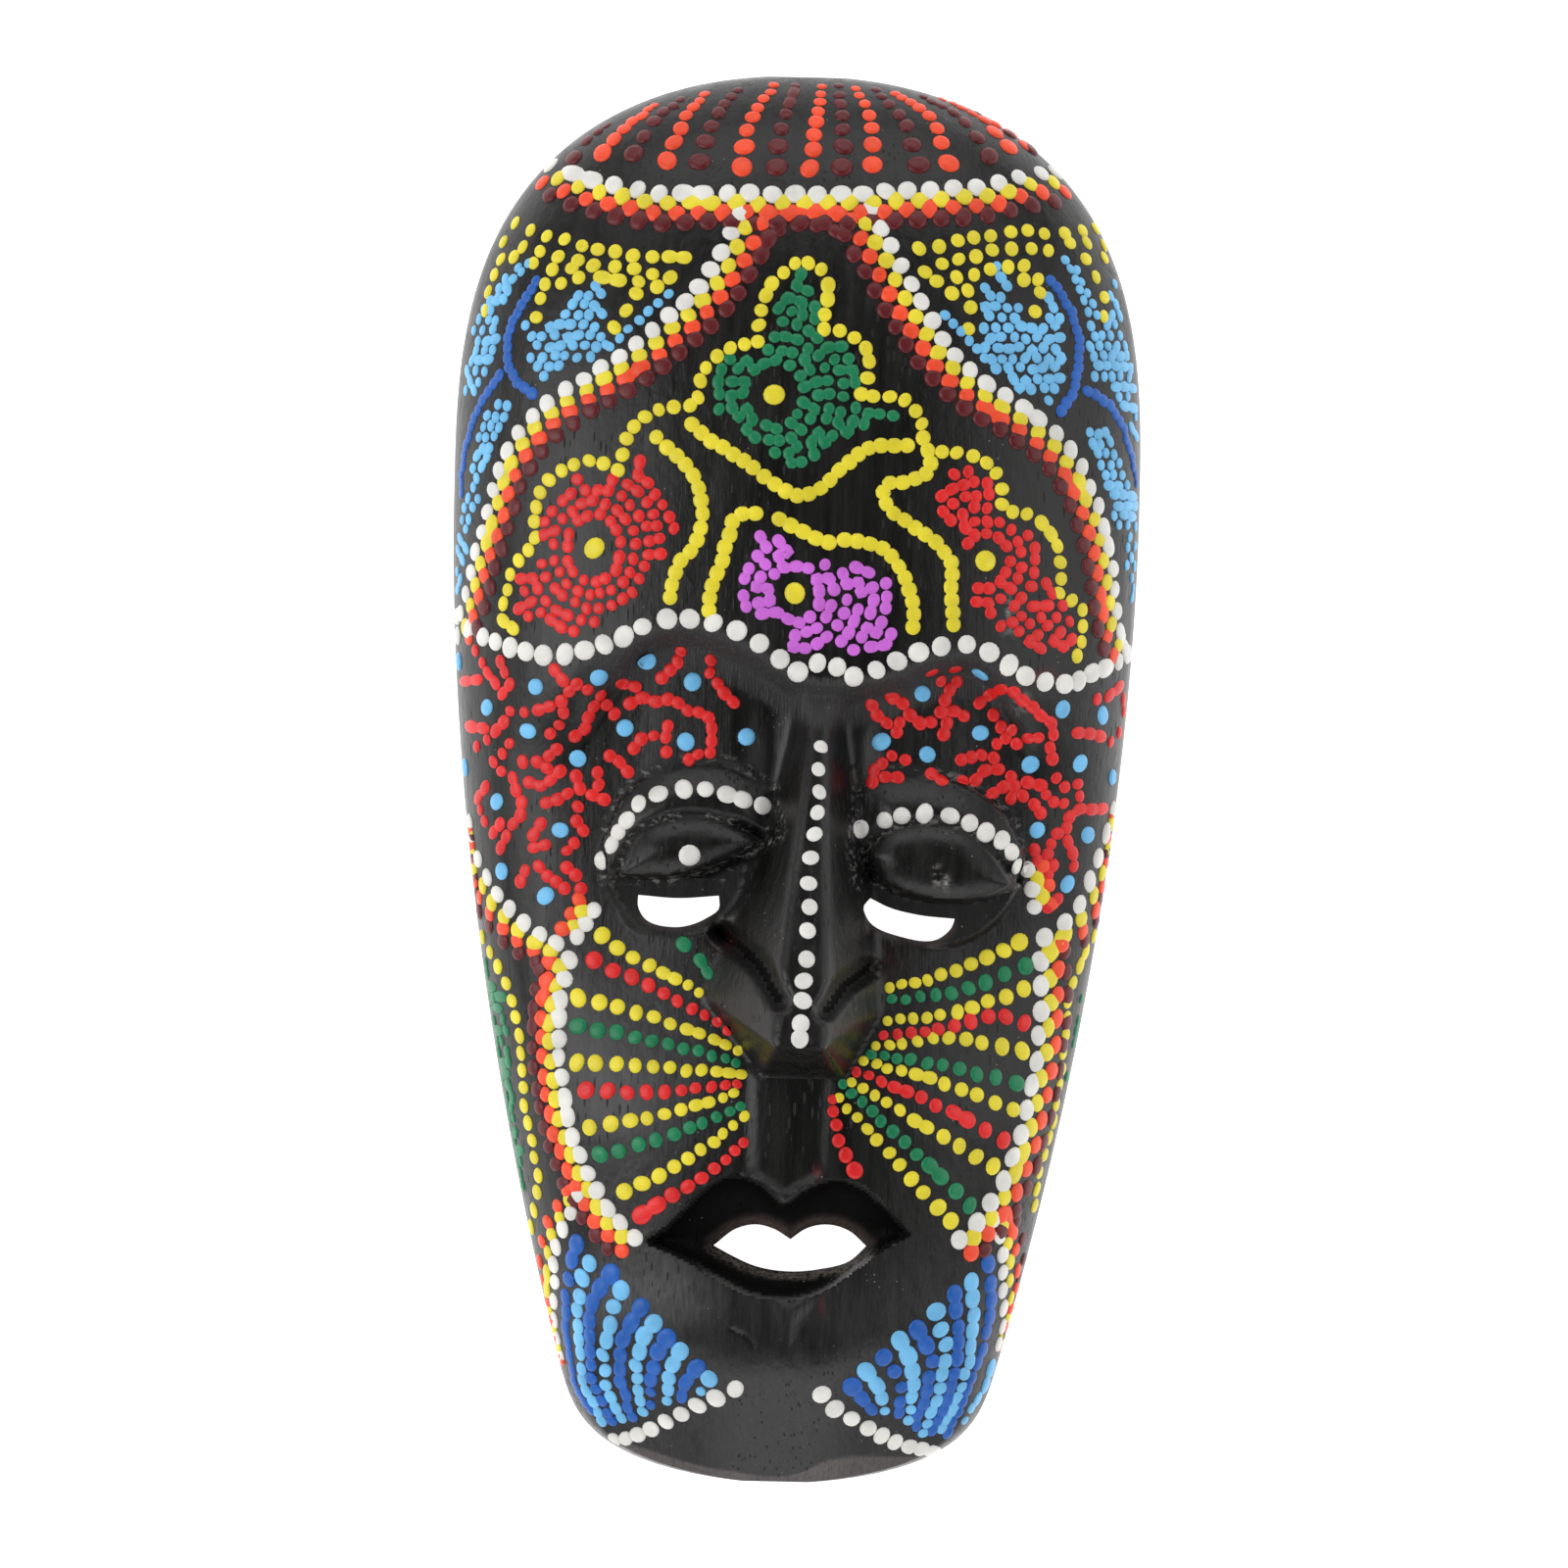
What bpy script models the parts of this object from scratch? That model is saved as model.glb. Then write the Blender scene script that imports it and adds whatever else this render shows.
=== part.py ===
"""A hand-carved wooden face mask with a long head, hollowed behind, lying face up on its flat back rim.

X runs across the face, Y from the chin up to the crown and Z out of the face. The rim lies on Z = 0.
The carving is laid out in steps, a share of the mask's own size: STEPS_HIGH of them from chin to crown,
STEPS_WIDE from temple to temple and STEPS_DEEP from the rim to the tip of the nose.
"""
import bmesh
import bpy
import numpy as np
from mathutils import Vector

# Driving sizes, in metres
HEIGHT = 0.300
WIDTH = 0.1466
DEPTH = 0.060
RIM = 0.009
WALL = 0.005
SIDE_EDGE = 0.008

# The carver's steps
STEPS_HIGH = 300.0
STEPS_WIDE = 146.6
STEPS_DEEP = 60.0

# Outline of the head, in steps
TEMPLE_Y = 60.0
CROWN_WIDE, CROWN_HIGH = 2.2, 3.0
JAW_IN = 27.1
JAW_REACH = 187.0
JAW_BEND = 1.88
CHIN_Y = -122.0
CHIN_ROUND = 28.3
CHIN_BLUNT = 4.0
CROWN_OVER = 0.3

# The smooth form under the carving, in steps
FACE_LEVEL = 46.0
FACE_Y = 20.0
CROWN_REACH = 130.5
CROWN_BEND = 2.6
CHIN_DROP = 15.0
CHIN_REACH = 163.0
CHIN_BEND = 2.2
CROSS_BEND = 2.6
CARVING_DEPTH = 11.5

# Brow line, from the left temple to the right one
BROW = ((-73, 33.5), (-62, 27.2), (-50, 25.2), (-38, 29.0), (-24, 34.0), (-10, 30.0), (2, 23.3),
        (18, 23.8), (36, 29.6), (54, 22.0), (73, 28.6))
BROW_EDGE = 1.8
BROW_UNDERSIDE, TEMPLE_UNDERSIDE = 5.5, 26.0
BROW_STEEP = (4.0, 34.0, 56.0)
SOCKET_SINK = 8.8
SOCKET_LEFT = (-70.0, -30.0)
SOCKET_RIGHT = (74.0, 36.0)
SOCKET_END = (-78.0, -28.0)

# Eyes: the arch over each lid, the lid, the hollow under it and the slit through the hollow
LEFT_ARCH = (((-40.4, -14.9), (-34.8, -2.9), (-29.0, 1.9), (-21.4, 3.7), (-13.0, 3.4), (-3.4, -1.6)),
             ((-3.4, -1.6), (-2.6, -13.0), (-8.0, -26.0), (-24.0, -33.0), (-37.0, -27.0), (-40.4, -14.9)))
RIGHT_ARCH = (((14.4, -1.2), (19.0, 1.6), (26.9, 2.4), (32.1, 1.8), (40.5, -1.2), (46.9, -6.8),
               (51.0, -14.5)),
              ((51.0, -14.5), (46.0, -27.0), (32.0, -34.0), (18.0, -28.0), (13.2, -14.0), (14.4, -1.2)))
LEFT_LID = (((-36.9, -22.0), (-31.8, -11.5), (-21.1, -8.0), (-12.0, -9.6), (-4.0, -13.8)),
            ((-4.0, -13.8), (-10.0, -16.6), (-17.1, -19.9), (-24.0, -21.9), (-36.9, -22.0)))
RIGHT_LID = (((15.6, -15.5), (20.0, -10.8), (26.5, -8.6), (37.5, -9.8), (45.1, -16.0), (49.2, -22.0)),
             ((49.2, -22.0), (43.3, -24.8), (35.5, -25.9), (25.6, -24.9), (19.0, -21.8), (15.6, -15.5)))
LEFT_HOLLOW = (((-39.0, -21.0), (-24.0, -18.0), (-7.0, -15.5)),
               ((-7.0, -15.5), (-9.5, -26.0), (-14.0, -31.2), (-23.7, -34.4), (-33.0, -32.8), (-39.0, -21.0)))
RIGHT_HOLLOW = (((14.0, -16.0), (30.0, -19.0), (50.8, -20.6)),
                ((50.8, -20.6), (46.5, -28.0), (38.1, -34.4), (26.6, -35.4), (17.8, -31.0), (14.0, -16.0)))
LEFT_SLIT = (((-31.9, -25.4), (-23.5, -25.9), (-14.7, -25.2)),
             ((-14.7, -25.2), (-14.6, -27.9), (-17.2, -30.0), (-23.9, -32.1), (-30.8, -30.0), (-31.9, -27.8),
              (-31.9, -25.4)))
RIGHT_SLIT = (((17.6, -25.0), (21.4, -26.8), (27.7, -28.3), (35.7, -29.0)),
              ((35.7, -29.0), (35.2, -30.6), (32.6, -33.2), (24.4, -33.1), (17.0, -29.3), (16.2, -26.8),
               (17.6, -25.0)))
ARCH_LEVEL, ARCH_SWELL, ARCH_RUN = 35.6, 3.4, 9.0
LID_LEVEL, LID_SWELL, LID_RUN = 38.0, 3.2, 7.0
HOLLOW_LEVEL = 34.5
EYE_EDGE, LID_EDGE = 1.4, 1.2
LID_CREASE_DEPTH, LID_CREASE_WIDE, LID_CREASE_FROM = 1.1, 1.1, -21.0

# Nose: its line, the level and half width of its ridge, and how steeply its sides fall
NOSE_AT, NOSE_LEAN = 5.3, 0.035
NOSE_RIDGE = ((-57, 60.0), (-45, 57.6), (-25, 52.6), (0, 47.4), (12, 43.8), (20, 41.0), (30, 34.0),
              (60, -40.0))
NOSE_FLAT = ((-57, 5.6), (-30, 4.2), (0, 2.5), (12, 2.4), (24, 6.0))
NOSE_LEFT_FALL = ((-47, 1.32), (-20, 1.8), (0, 2.3), (20, 2.2))
NOSE_RIGHT_FALL = ((-47, 1.86), (-20, 1.9), (0, 2.3), (20, 2.2))
NOSE_BASE_Y, NOSE_BASE_LEVEL, NOSE_UNDERSIDE = -63.2, 41.5, 3.0
WING_LEVEL, LEFT_WING_RISE, RIGHT_WING_RISE = 40.0, 3.4, 3.0
LEFT_WING = ((-16.9, -46.2), (-5.0, -62.7), WING_LEVEL, LEFT_WING_RISE)
RIGHT_WING = ((13.8, -61.2), (19.2, -49.0), WING_LEVEL, RIGHT_WING_RISE)
LEFT_NOSTRIL = ((-14.0, -33.0), (-7.0, -38.4), (-1.4, -47.0))
RIGHT_NOSTRIL = ((17.2, -40.0), (13.0, -43.2), (8.8, -48.8))
NOSTRIL_DEPTH, NOSTRIL_WIDE = 4.4, 3.4
NOSE_HOLLOWS = ((-4.0, 2.0), (14.0, 2.0))
NOSE_HOLLOW = (2.0, 4.5, 15.0)
RIDGE_TURN, WING_TURN, BASE_TURN, NOSE_TURN = 1.5, 1.0, 0.8, 1.6

# Panel between nose and mouth
PHILTRUM = (((-8.3, -61.0), (11.2, -61.0)), ((11.2, -61.0), (10.0, -92.0)), ((10.0, -92.0), (-7.6, -92.0)),
            ((-7.6, -92.0), (-8.3, -61.0)))
PHILTRUM_RISE, PHILTRUM_EDGE = 1.1, 1.6

# Mouth: the bow-shaped hollow and the hole at its bottom
MOUTH = (((-28.7, -99.4), (-23.9, -95.6), (-16.0, -87.2), (-11.2, -84.6), (-6.0, -85.5), (0.7, -90.0)),
         ((0.7, -90.0), (4.6, -87.3), (11.5, -84.8), (16.6, -86.0), (22.6, -90.8), (27.7, -96.5)),
         ((27.7, -96.5), (20.8, -100.4), (14.9, -105.0), (8.2, -109.4), (1.9, -110.9), (-5.4, -110.2),
          (-13.6, -106.5), (-20.0, -102.8), (-28.7, -99.4)))
MOUTH_HOLE = (((-14.2, -99.8), (-9.2, -96.0), (-5.5, -95.1), (-1.3, -96.0), (2.2, -98.1)),
              ((2.2, -98.1), (5.4, -95.8), (9.5, -94.8), (14.6, -96.0), (18.4, -99.2)),
              ((18.4, -99.2), (15.2, -102.3), (8.4, -104.4), (1.7, -105.0), (-5.2, -104.0), (-10.8, -101.6),
               (-14.2, -99.8)))
MOUTH_SINK = 8.2
MOUTH_FUNNEL = 3.0
MOUTH_FUNNEL_FROM = 0.74

# Chin: two side planes, a bevel along the bottom and a shallow wedge under the lip
CHIN_SIDE_LEVEL, CHIN_SIDE_AT, CHIN_SIDE_FALL, CHIN_SIDE_RISE = 34.5, (11.0, -125.0), 0.36, 0.60
CHIN_BEVEL_LEVEL, CHIN_BEVEL_RISE = 21.0, 1.35
CHIN_MIDDLE_TURN, CHIN_SIDE_TURN, CHIN_BEVEL_TURN = 6.0, 2.0, 1.0
LIP_WEDGE = (((-5.0, -109.0), (9.6, -109.0)), ((9.6, -109.0), (2.0, -125.0)), ((2.0, -125.0), (-5.0, -109.0)))
LIP_WEDGE_DEPTH, LIP_WEDGE_EDGE = 0.9, 2.0

# The hollow behind: how square its walls meet its floor
HOLLOW_BEND, HOLLOW_ROUND = 3.0, 0.45

# Fineness of the meshes
FACE_GRID_COUNT = (210, 350)
BACK_GRID_COUNT = (22, 38)
SIDE_CROWDING, END_CROWDING = 0.5, 0.4
FACE_KEEP = 0.041
CURVE_STEP = 1.0
BELOW = 0.004

WOOD_COLOUR = (0.012, 0.011, 0.010, 1.0)
WOOD_ROUGHNESS = 0.42


def ease(t):
    """0 below 0 and 1 above 1, with a smooth turn between."""
    t = np.clip(t, 0.0, 1.0)
    return t * t * (3.0 - 2.0 * t)


def between(value, start, end):
    """Rises from 0 at the start to 1 at the end, which may be on either side."""
    return ease((value - start) / (end - start))


def soft_min(a, b, width):
    """The lower of two surfaces, with their crossing rounded over the width."""
    share = np.clip(0.5 + 0.5 * (b - a) / width, 0.0, 1.0)
    return b + (a - b) * share - width * share * (1.0 - share)


def soft_max(a, b, width):
    return -soft_min(-a, -b, width)


def graph(points, x):
    """The value at x of a smooth line through points, level beyond its ends."""
    xs, ys = np.array(points, float).T
    slopes = np.gradient(ys, xs)
    i = np.clip(np.searchsorted(xs, x) - 1, 0, len(xs) - 2)
    span = xs[i + 1] - xs[i]
    t = np.clip((x - xs[i]) / span, 0.0, 1.0)
    start = ys[i] * (1 + 2 * t) * (1 - t) ** 2 + slopes[i] * span * t * (1 - t) ** 2
    return start + ys[i + 1] * t * t * (3 - 2 * t) - slopes[i + 1] * span * t * t * (1 - t)


def stroke(points):
    """A smooth open line through points, as points about CURVE_STEP apart."""
    points = np.array(points, float)
    along = np.concatenate([[0.0], np.cumsum(np.hypot(*np.diff(points, axis=0).T))])
    count = max(2, int(round(along[-1] / CURVE_STEP)) + 1)
    at = np.linspace(0.0, along[-1], count)
    return np.stack([graph(list(zip(along, points[:, k])), at) for k in range(2)], axis=1)


def ring(strokes):
    """A closed outline from strokes that meet in corners."""
    return np.concatenate([stroke(points)[:-1] for points in strokes])


def distance(x, y, line, is_closed=False):
    """Distance of every place to the line."""
    ends = np.roll(line, -1, axis=0) if is_closed else line[1:]
    nearest = np.full(x.shape, np.inf)
    for (ax, ay), (bx, by) in zip(line, ends):
        length = (bx - ax) ** 2 + (by - ay) ** 2
        t = np.clip(((x - ax) * (bx - ax) + (y - ay) * (by - ay)) / length, 0.0, 1.0)
        nearest = np.minimum(nearest, np.hypot(x - ax - t * (bx - ax), y - ay - t * (by - ay)))
    return nearest


def inset(x, y, strokes):
    """How far each place is inside the outline, less than 0 outside."""
    outline = ring(strokes)
    inside = np.zeros(x.shape, bool)
    for (ax, ay), (bx, by) in zip(outline, np.roll(outline, -1, axis=0)):
        if ay != by:
            inside ^= ((ay > y) != (by > y)) & (x < ax + (bx - ax) * (y - ay) / (by - ay))
    near = distance(x, y, outline, True)
    return np.where(inside, near, -near)


def half_width(y):
    """Half the head's width at height y."""
    up = np.clip((y - TEMPLE_Y) / (STEPS_HIGH / 2 + CROWN_OVER - TEMPLE_Y), 0.0, 1.0)
    down = np.clip(TEMPLE_Y - y, 0.0, None)
    chin = np.clip((CHIN_Y - y) / CHIN_ROUND, 0.0, 1.0)
    sides = STEPS_WIDE / 2 - JAW_IN * (down / JAW_REACH) ** JAW_BEND
    return sides * (1 - up ** CROWN_HIGH) ** (1 / CROWN_WIDE) * np.sqrt(1 - chin ** CHIN_BLUNT)


def crest(y, edge):
    """Level of the smooth form along its middle."""
    up = np.clip((y - FACE_Y) / CROWN_REACH, 0.0, 1.0)
    down = np.clip(FACE_Y - y, 0.0, None)
    crown = edge + (FACE_LEVEL - edge) * np.sqrt(1 - up ** CROWN_BEND)
    return crown - CHIN_DROP * (down / CHIN_REACH) ** CHIN_BEND


def smooth_form(x, y, edge):
    """The head before its features are cut: a long dome that stands on a straight edge."""
    across = np.clip(np.abs(x) / half_width(y), 0.0, 1.0)
    return edge + (crest(y, edge) - edge) * np.sqrt(1 - across ** CROSS_BEND)


def cut_sockets(z, x, y):
    """Everything below the brow line sinks, most around the eyes."""
    middle, steep_to, soft_from = BROW_STEEP
    softness = between(np.abs(x - middle), steep_to, soft_from)
    underside = BROW_UNDERSIDE + (TEMPLE_UNDERSIDE - BROW_UNDERSIDE) * softness
    below = ease((graph(BROW, x) - BROW_EDGE - y) / underside)
    sides = between(x, *SOCKET_LEFT) * between(x, *SOCKET_RIGHT)
    z = z - SOCKET_SINK * below * sides * between(y, *SOCKET_END)
    depth, wide, high = NOSE_HOLLOW
    for at_x, at_y in NOSE_HOLLOWS:
        z = z - depth * np.exp(-(((x - at_x) / wide) ** 2) - ((y - at_y) / high) ** 2)
    return z


def carve_eye(z, x, y, arch, lid, hollow):
    """The arched fold, the swelling lid in it, and the sunken crescent under the lid."""
    d = inset(x, y, arch)
    z = z + ease(d / EYE_EDGE) * (ARCH_LEVEL + ARCH_SWELL * ease(d / ARCH_RUN) - z)
    d = inset(x, y, hollow)
    z = z + ease(d / EYE_EDGE) * (HOLLOW_LEVEL - z)
    d = inset(x, y, lid)
    z = z - LID_CREASE_DEPTH * np.exp(-((d / LID_CREASE_WIDE) ** 2)) * (y > LID_CREASE_FROM)
    swell = 1 - (1 - np.clip(d / LID_RUN, 0.0, 1.0)) ** 2
    return z + ease(d / LID_EDGE) * (LID_LEVEL + LID_SWELL * swell - z)


def facet(x, y, wing):
    """A plane that rises away from the line between two points, on its left side."""
    (ax, ay), (bx, by), level, rise = wing
    length = np.hypot(bx - ax, by - ay)
    return level + rise * ((bx - ax) * (y - ay) - (by - ay) * (x - ax)) / length


def add_nose(z, x, y):
    """A ridge with a flat top and steep sides, cut off by a facet at each wing and by its underside."""
    side = x - NOSE_AT - NOSE_LEAN * y
    fall = np.where(side < 0, graph(NOSE_LEFT_FALL, y), graph(NOSE_RIGHT_FALL, y))
    nose = graph(NOSE_RIDGE, y) - fall * soft_max(np.abs(side) - graph(NOSE_FLAT, y), 0.0 * x, RIDGE_TURN)
    for wing in (LEFT_WING, RIGHT_WING):
        nose = soft_min(nose, facet(x, y, wing), WING_TURN)
    nose = soft_min(nose, NOSE_BASE_LEVEL + NOSE_UNDERSIDE * (y - NOSE_BASE_Y), BASE_TURN)
    z = soft_max(z, nose, NOSE_TURN)
    for line in (LEFT_NOSTRIL, RIGHT_NOSTRIL):
        d = distance(x, y, stroke(line))
        z = z - NOSTRIL_DEPTH * ease(1 - d / NOSTRIL_WIDE)
    return z


def cut_mouth(z, x, y):
    """The hollow of the mouth, steep at its edge and deepest round the hole."""
    d = inset(x, y, MOUTH)
    to_hole = -inset(x, y, MOUTH_HOLE)
    t = np.clip(d, 0.0, None) / (np.clip(d, 0.0, None) + np.clip(to_hole, 0.0, None) + 1e-6)
    return z - MOUTH_SINK * np.sqrt(1 - (1 - t) ** 2) - MOUTH_FUNNEL * between(t, MOUTH_FUNNEL_FROM, 1.0)


def shape_chin(z, x, y):
    """Side planes, the bevel along the bottom and the wedge under the lip."""
    at_x, at_y = CHIN_SIDE_AT
    out = soft_max(np.abs(x) - at_x, 0.0 * x, CHIN_MIDDLE_TURN)
    side = CHIN_SIDE_LEVEL - CHIN_SIDE_FALL * out + CHIN_SIDE_RISE * (y - at_y)
    z = soft_min(z, side, CHIN_SIDE_TURN)
    bevel = CHIN_BEVEL_LEVEL + CHIN_BEVEL_RISE * (y + STEPS_HIGH / 2)
    z = soft_min(z, bevel, CHIN_BEVEL_TURN)
    return z - LIP_WEDGE_DEPTH * ease(inset(x, y, LIP_WEDGE) / LIP_WEDGE_EDGE)


def face_level(x, y, edge):
    """Level of the carved front at every place, in steps."""
    z = cut_sockets(smooth_form(x, y, edge), x, y)
    z = carve_eye(z, x, y, LEFT_ARCH, LEFT_LID, LEFT_HOLLOW)
    z = carve_eye(z, x, y, RIGHT_ARCH, RIGHT_LID, RIGHT_HOLLOW)
    z = z + PHILTRUM_RISE * ease(inset(x, y, PHILTRUM) / PHILTRUM_EDGE)
    z = add_nose(z, x, y)
    z = shape_chin(z, x, y)
    return cut_mouth(z, x, y)


def to_metres(x, y, z):
    """Places in steps as places in metres."""
    return np.stack([x * WIDTH / STEPS_WIDE, y * HEIGHT / STEPS_HIGH, z * DEPTH / STEPS_DEEP], axis=-1)


def grid_places(columns, rows):
    """A grid over the head's outline, in steps, closer together at the sides."""
    s, t = np.meshgrid(np.linspace(-1, 1, columns + 1), np.linspace(-1, 1, rows + 1))
    across = s + SIDE_CROWDING * (np.sin(s * np.pi / 2) - s)
    y = (t + END_CROWDING * (np.sin(t * np.pi / 2) - t)) * STEPS_HIGH / 2
    return across * half_width(y), y


def mesh_object(name, bm, collection):
    mesh = bpy.data.meshes.new(name)
    bm.normal_update()
    bmesh.ops.recalc_face_normals(bm, faces=bm.faces)
    bm.to_mesh(mesh)
    bm.free()
    obj = bpy.data.objects.new(name, mesh)
    collection.objects.link(obj)
    return obj


def raised_grid(name, places, bottom, collection):
    """A closed block whose top is the grid of places and whose sides go straight down to the bottom."""
    rows, columns, _ = places.shape
    bm = bmesh.new()
    bmesh.ops.create_grid(bm, x_segments=columns + 1, y_segments=rows + 1, size=1.0)
    grid = {}
    for vert in bm.verts:
        column = round((vert.co.x + 1) / 2 * (columns + 1))
        row = round((vert.co.y + 1) / 2 * (rows + 1))
        grid[row, column] = vert
        vert.co = Vector(places[min(max(row - 1, 0), rows - 1), min(max(column - 1, 0), columns - 1)])
        if row in (0, rows + 1) or column in (0, columns + 1):
            vert.co.z = bottom
    border = [grid[row, 0] for row in range(rows + 1)]
    border += [grid[rows + 1, column] for column in range(columns + 1)]
    border += [grid[row, columns + 1] for row in range(rows + 1, 0, -1)]
    border += [grid[0, column] for column in range(columns + 1, 0, -1)]
    bm.faces.new(border)
    return mesh_object(name, bm, collection)


def prism(name, strokes, bottom, top, collection):
    """A straight-sided cutter over an outline in steps."""
    outline = ring(strokes)
    places = to_metres(outline[:, 0], outline[:, 1], np.zeros(len(outline)))
    bm = bmesh.new()
    bmesh.ops.create_cone(bm, cap_ends=True, segments=len(outline), radius1=1.0, radius2=1.0, depth=1.0)
    for vert in bm.verts:
        turn = np.arctan2(vert.co.y, vert.co.x) / (2 * np.pi)
        x, y, _ = places[round(turn * len(outline)) % len(outline)]
        vert.co = (x, y, bottom if vert.co.z < 0 else top)
    return mesh_object(name, bm, collection)


def back_saw(collection):
    """The block below the rim, which the saw takes off flat."""
    bm = bmesh.new()
    bmesh.ops.create_cube(bm, size=1.0)
    bmesh.ops.scale(bm, vec=(WIDTH * 2, HEIGHT * 2, BELOW * 4), verts=bm.verts)
    bmesh.ops.translate(bm, vec=(0, 0, -BELOW * 2), verts=bm.verts)
    return mesh_object("back_saw", bm, collection)


def inner_hollow(collection):
    """The smooth hollow behind the face: RIM in from the outline, and WALL behind the deepest carving."""
    x, y = grid_places(*BACK_GRID_COUNT)
    across = np.clip(np.abs(x) / half_width(y), 0.0, 1.0)
    arch = crest(y, 0.0) / FACE_LEVEL * (1 - across ** HOLLOW_BEND) ** HOLLOW_ROUND
    places = to_metres(x, y, (FACE_LEVEL - CARVING_DEPTH) * arch)
    places -= WALL * arch[..., None] * np.array((0.0, 0.0, 1.0))
    places *= (1 - 2 * RIM / WIDTH, 1 - 2 * RIM / HEIGHT, 1.0)
    return raised_grid("inner_hollow", places, -BELOW * 2, collection)


def wood():
    material = bpy.data.materials.new("blackened_wood")
    material.use_nodes = True
    shader = material.node_tree.nodes["Principled BSDF"]
    shader.inputs["Base Color"].default_value = WOOD_COLOUR
    shader.inputs["Roughness"].default_value = WOOD_ROUGHNESS
    shader.inputs["Metallic"].default_value = 0.0
    return material


def cut(obj, cutter):
    modifier = obj.modifiers.new(cutter.name, "BOOLEAN")
    modifier.operation = "DIFFERENCE"
    modifier.object = cutter
    modifier.solver = "EXACT"
    cutter.hide_render = True
    cutter.display_type = "WIRE"


def carved_mask(collection, cutters):
    """The carved front, sawn flat behind, hollowed, and opened at the eyes and the mouth."""
    x, y = grid_places(*FACE_GRID_COUNT)
    places = to_metres(x, y, face_level(x, y, SIDE_EDGE * STEPS_DEEP / DEPTH))
    mask = raised_grid("carved_mask", places, -BELOW, collection)
    mask.data.materials.append(wood())
    facets = mask.modifiers.new("knife_facets", "DECIMATE")
    facets.ratio = FACE_KEEP
    cut(mask, back_saw(cutters))
    cut(mask, inner_hollow(cutters))
    for name, strokes in (("left_slit", LEFT_SLIT), ("right_slit", RIGHT_SLIT), ("mouth_hole", MOUTH_HOLE)):
        cut(mask, prism(name, strokes, -BELOW, DEPTH + BELOW, cutters))
    return mask


def new_collection(name):
    collection = bpy.data.collections.new(name)
    bpy.context.scene.collection.children.link(collection)
    return collection


def main():
    for obj in list(bpy.data.objects):
        bpy.data.objects.remove(obj, do_unlink=True)
    carved_mask(new_collection("african_mask"), new_collection("cutters"))


main()
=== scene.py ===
"""A hand-carved wooden face mask, stained black and covered with drops of thick paint.

It lies face up on its flat back rim, in metres: X across the face, Y up to the crown, Z out of the face.
The carving is laid out in steps, a share of the mask's own size. The painted rows are laid out by where
their turns lie in the photograph, in pixels, and every drop sits on the carved surface.
"""
import math
import random
import bmesh
import bpy
import numpy as np
from mathutils import Matrix, Vector


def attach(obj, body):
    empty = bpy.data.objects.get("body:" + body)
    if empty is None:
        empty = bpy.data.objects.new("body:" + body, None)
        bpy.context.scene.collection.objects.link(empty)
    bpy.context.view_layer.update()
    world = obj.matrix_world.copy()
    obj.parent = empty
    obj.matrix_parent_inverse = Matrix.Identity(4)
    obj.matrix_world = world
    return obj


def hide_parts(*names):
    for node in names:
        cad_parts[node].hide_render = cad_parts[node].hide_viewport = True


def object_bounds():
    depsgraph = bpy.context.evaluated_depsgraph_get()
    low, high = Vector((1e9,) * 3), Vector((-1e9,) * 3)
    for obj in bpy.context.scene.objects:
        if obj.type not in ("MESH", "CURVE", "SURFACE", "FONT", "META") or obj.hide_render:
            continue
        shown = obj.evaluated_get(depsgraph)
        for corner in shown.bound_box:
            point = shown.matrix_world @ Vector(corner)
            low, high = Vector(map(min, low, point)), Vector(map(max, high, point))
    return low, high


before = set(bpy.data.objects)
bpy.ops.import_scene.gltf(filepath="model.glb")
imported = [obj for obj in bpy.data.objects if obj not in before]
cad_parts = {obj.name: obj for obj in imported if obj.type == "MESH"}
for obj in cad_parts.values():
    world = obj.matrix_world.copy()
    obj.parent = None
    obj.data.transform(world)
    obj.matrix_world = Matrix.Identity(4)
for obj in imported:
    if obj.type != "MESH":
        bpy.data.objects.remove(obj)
CAD_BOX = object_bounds()

# Driving sizes, in metres
HEIGHT = 0.300
WIDTH = 0.1466
DEPTH = 0.060
RIM = 0.009
WALL = 0.005
SIDE_EDGE = 0.008

# The carver's steps
STEPS_HIGH = 300.0
STEPS_WIDE = 146.6
STEPS_DEEP = 60.0

# Outline of the head, in steps
TEMPLE_Y = 60.0
CROWN_WIDE, CROWN_HIGH = 2.2, 3.0
JAW_IN = 27.1
JAW_REACH = 187.0
JAW_BEND = 1.88
CHIN_Y = -122.0
CHIN_ROUND = 28.3
CHIN_BLUNT = 4.0
CROWN_OVER = 0.3

# The smooth form under the carving, in steps
FACE_LEVEL = 46.0
FACE_Y = 20.0
CROWN_REACH = 130.5
CROWN_BEND = 2.6
CHIN_DROP = 15.0
CHIN_REACH = 163.0
CHIN_BEND = 2.2
CROSS_BEND = 2.6
CARVING_DEPTH = 11.5

# Brow line, from the left temple to the right one
BROW = ((-73, 33.5), (-62, 27.2), (-50, 25.2), (-38, 29.0), (-24, 34.0), (-10, 30.0), (2, 23.3),
    (18, 23.8), (36, 29.6), (54, 22.0), (73, 28.6))
BROW_EDGE = 1.8
BROW_UNDERSIDE, TEMPLE_UNDERSIDE = 5.5, 26.0
BROW_STEEP = (4.0, 34.0, 56.0)
SOCKET_SINK = 8.8
SOCKET_LEFT = (-70.0, -30.0)
SOCKET_RIGHT = (74.0, 36.0)
SOCKET_END = (-78.0, -28.0)

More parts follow.
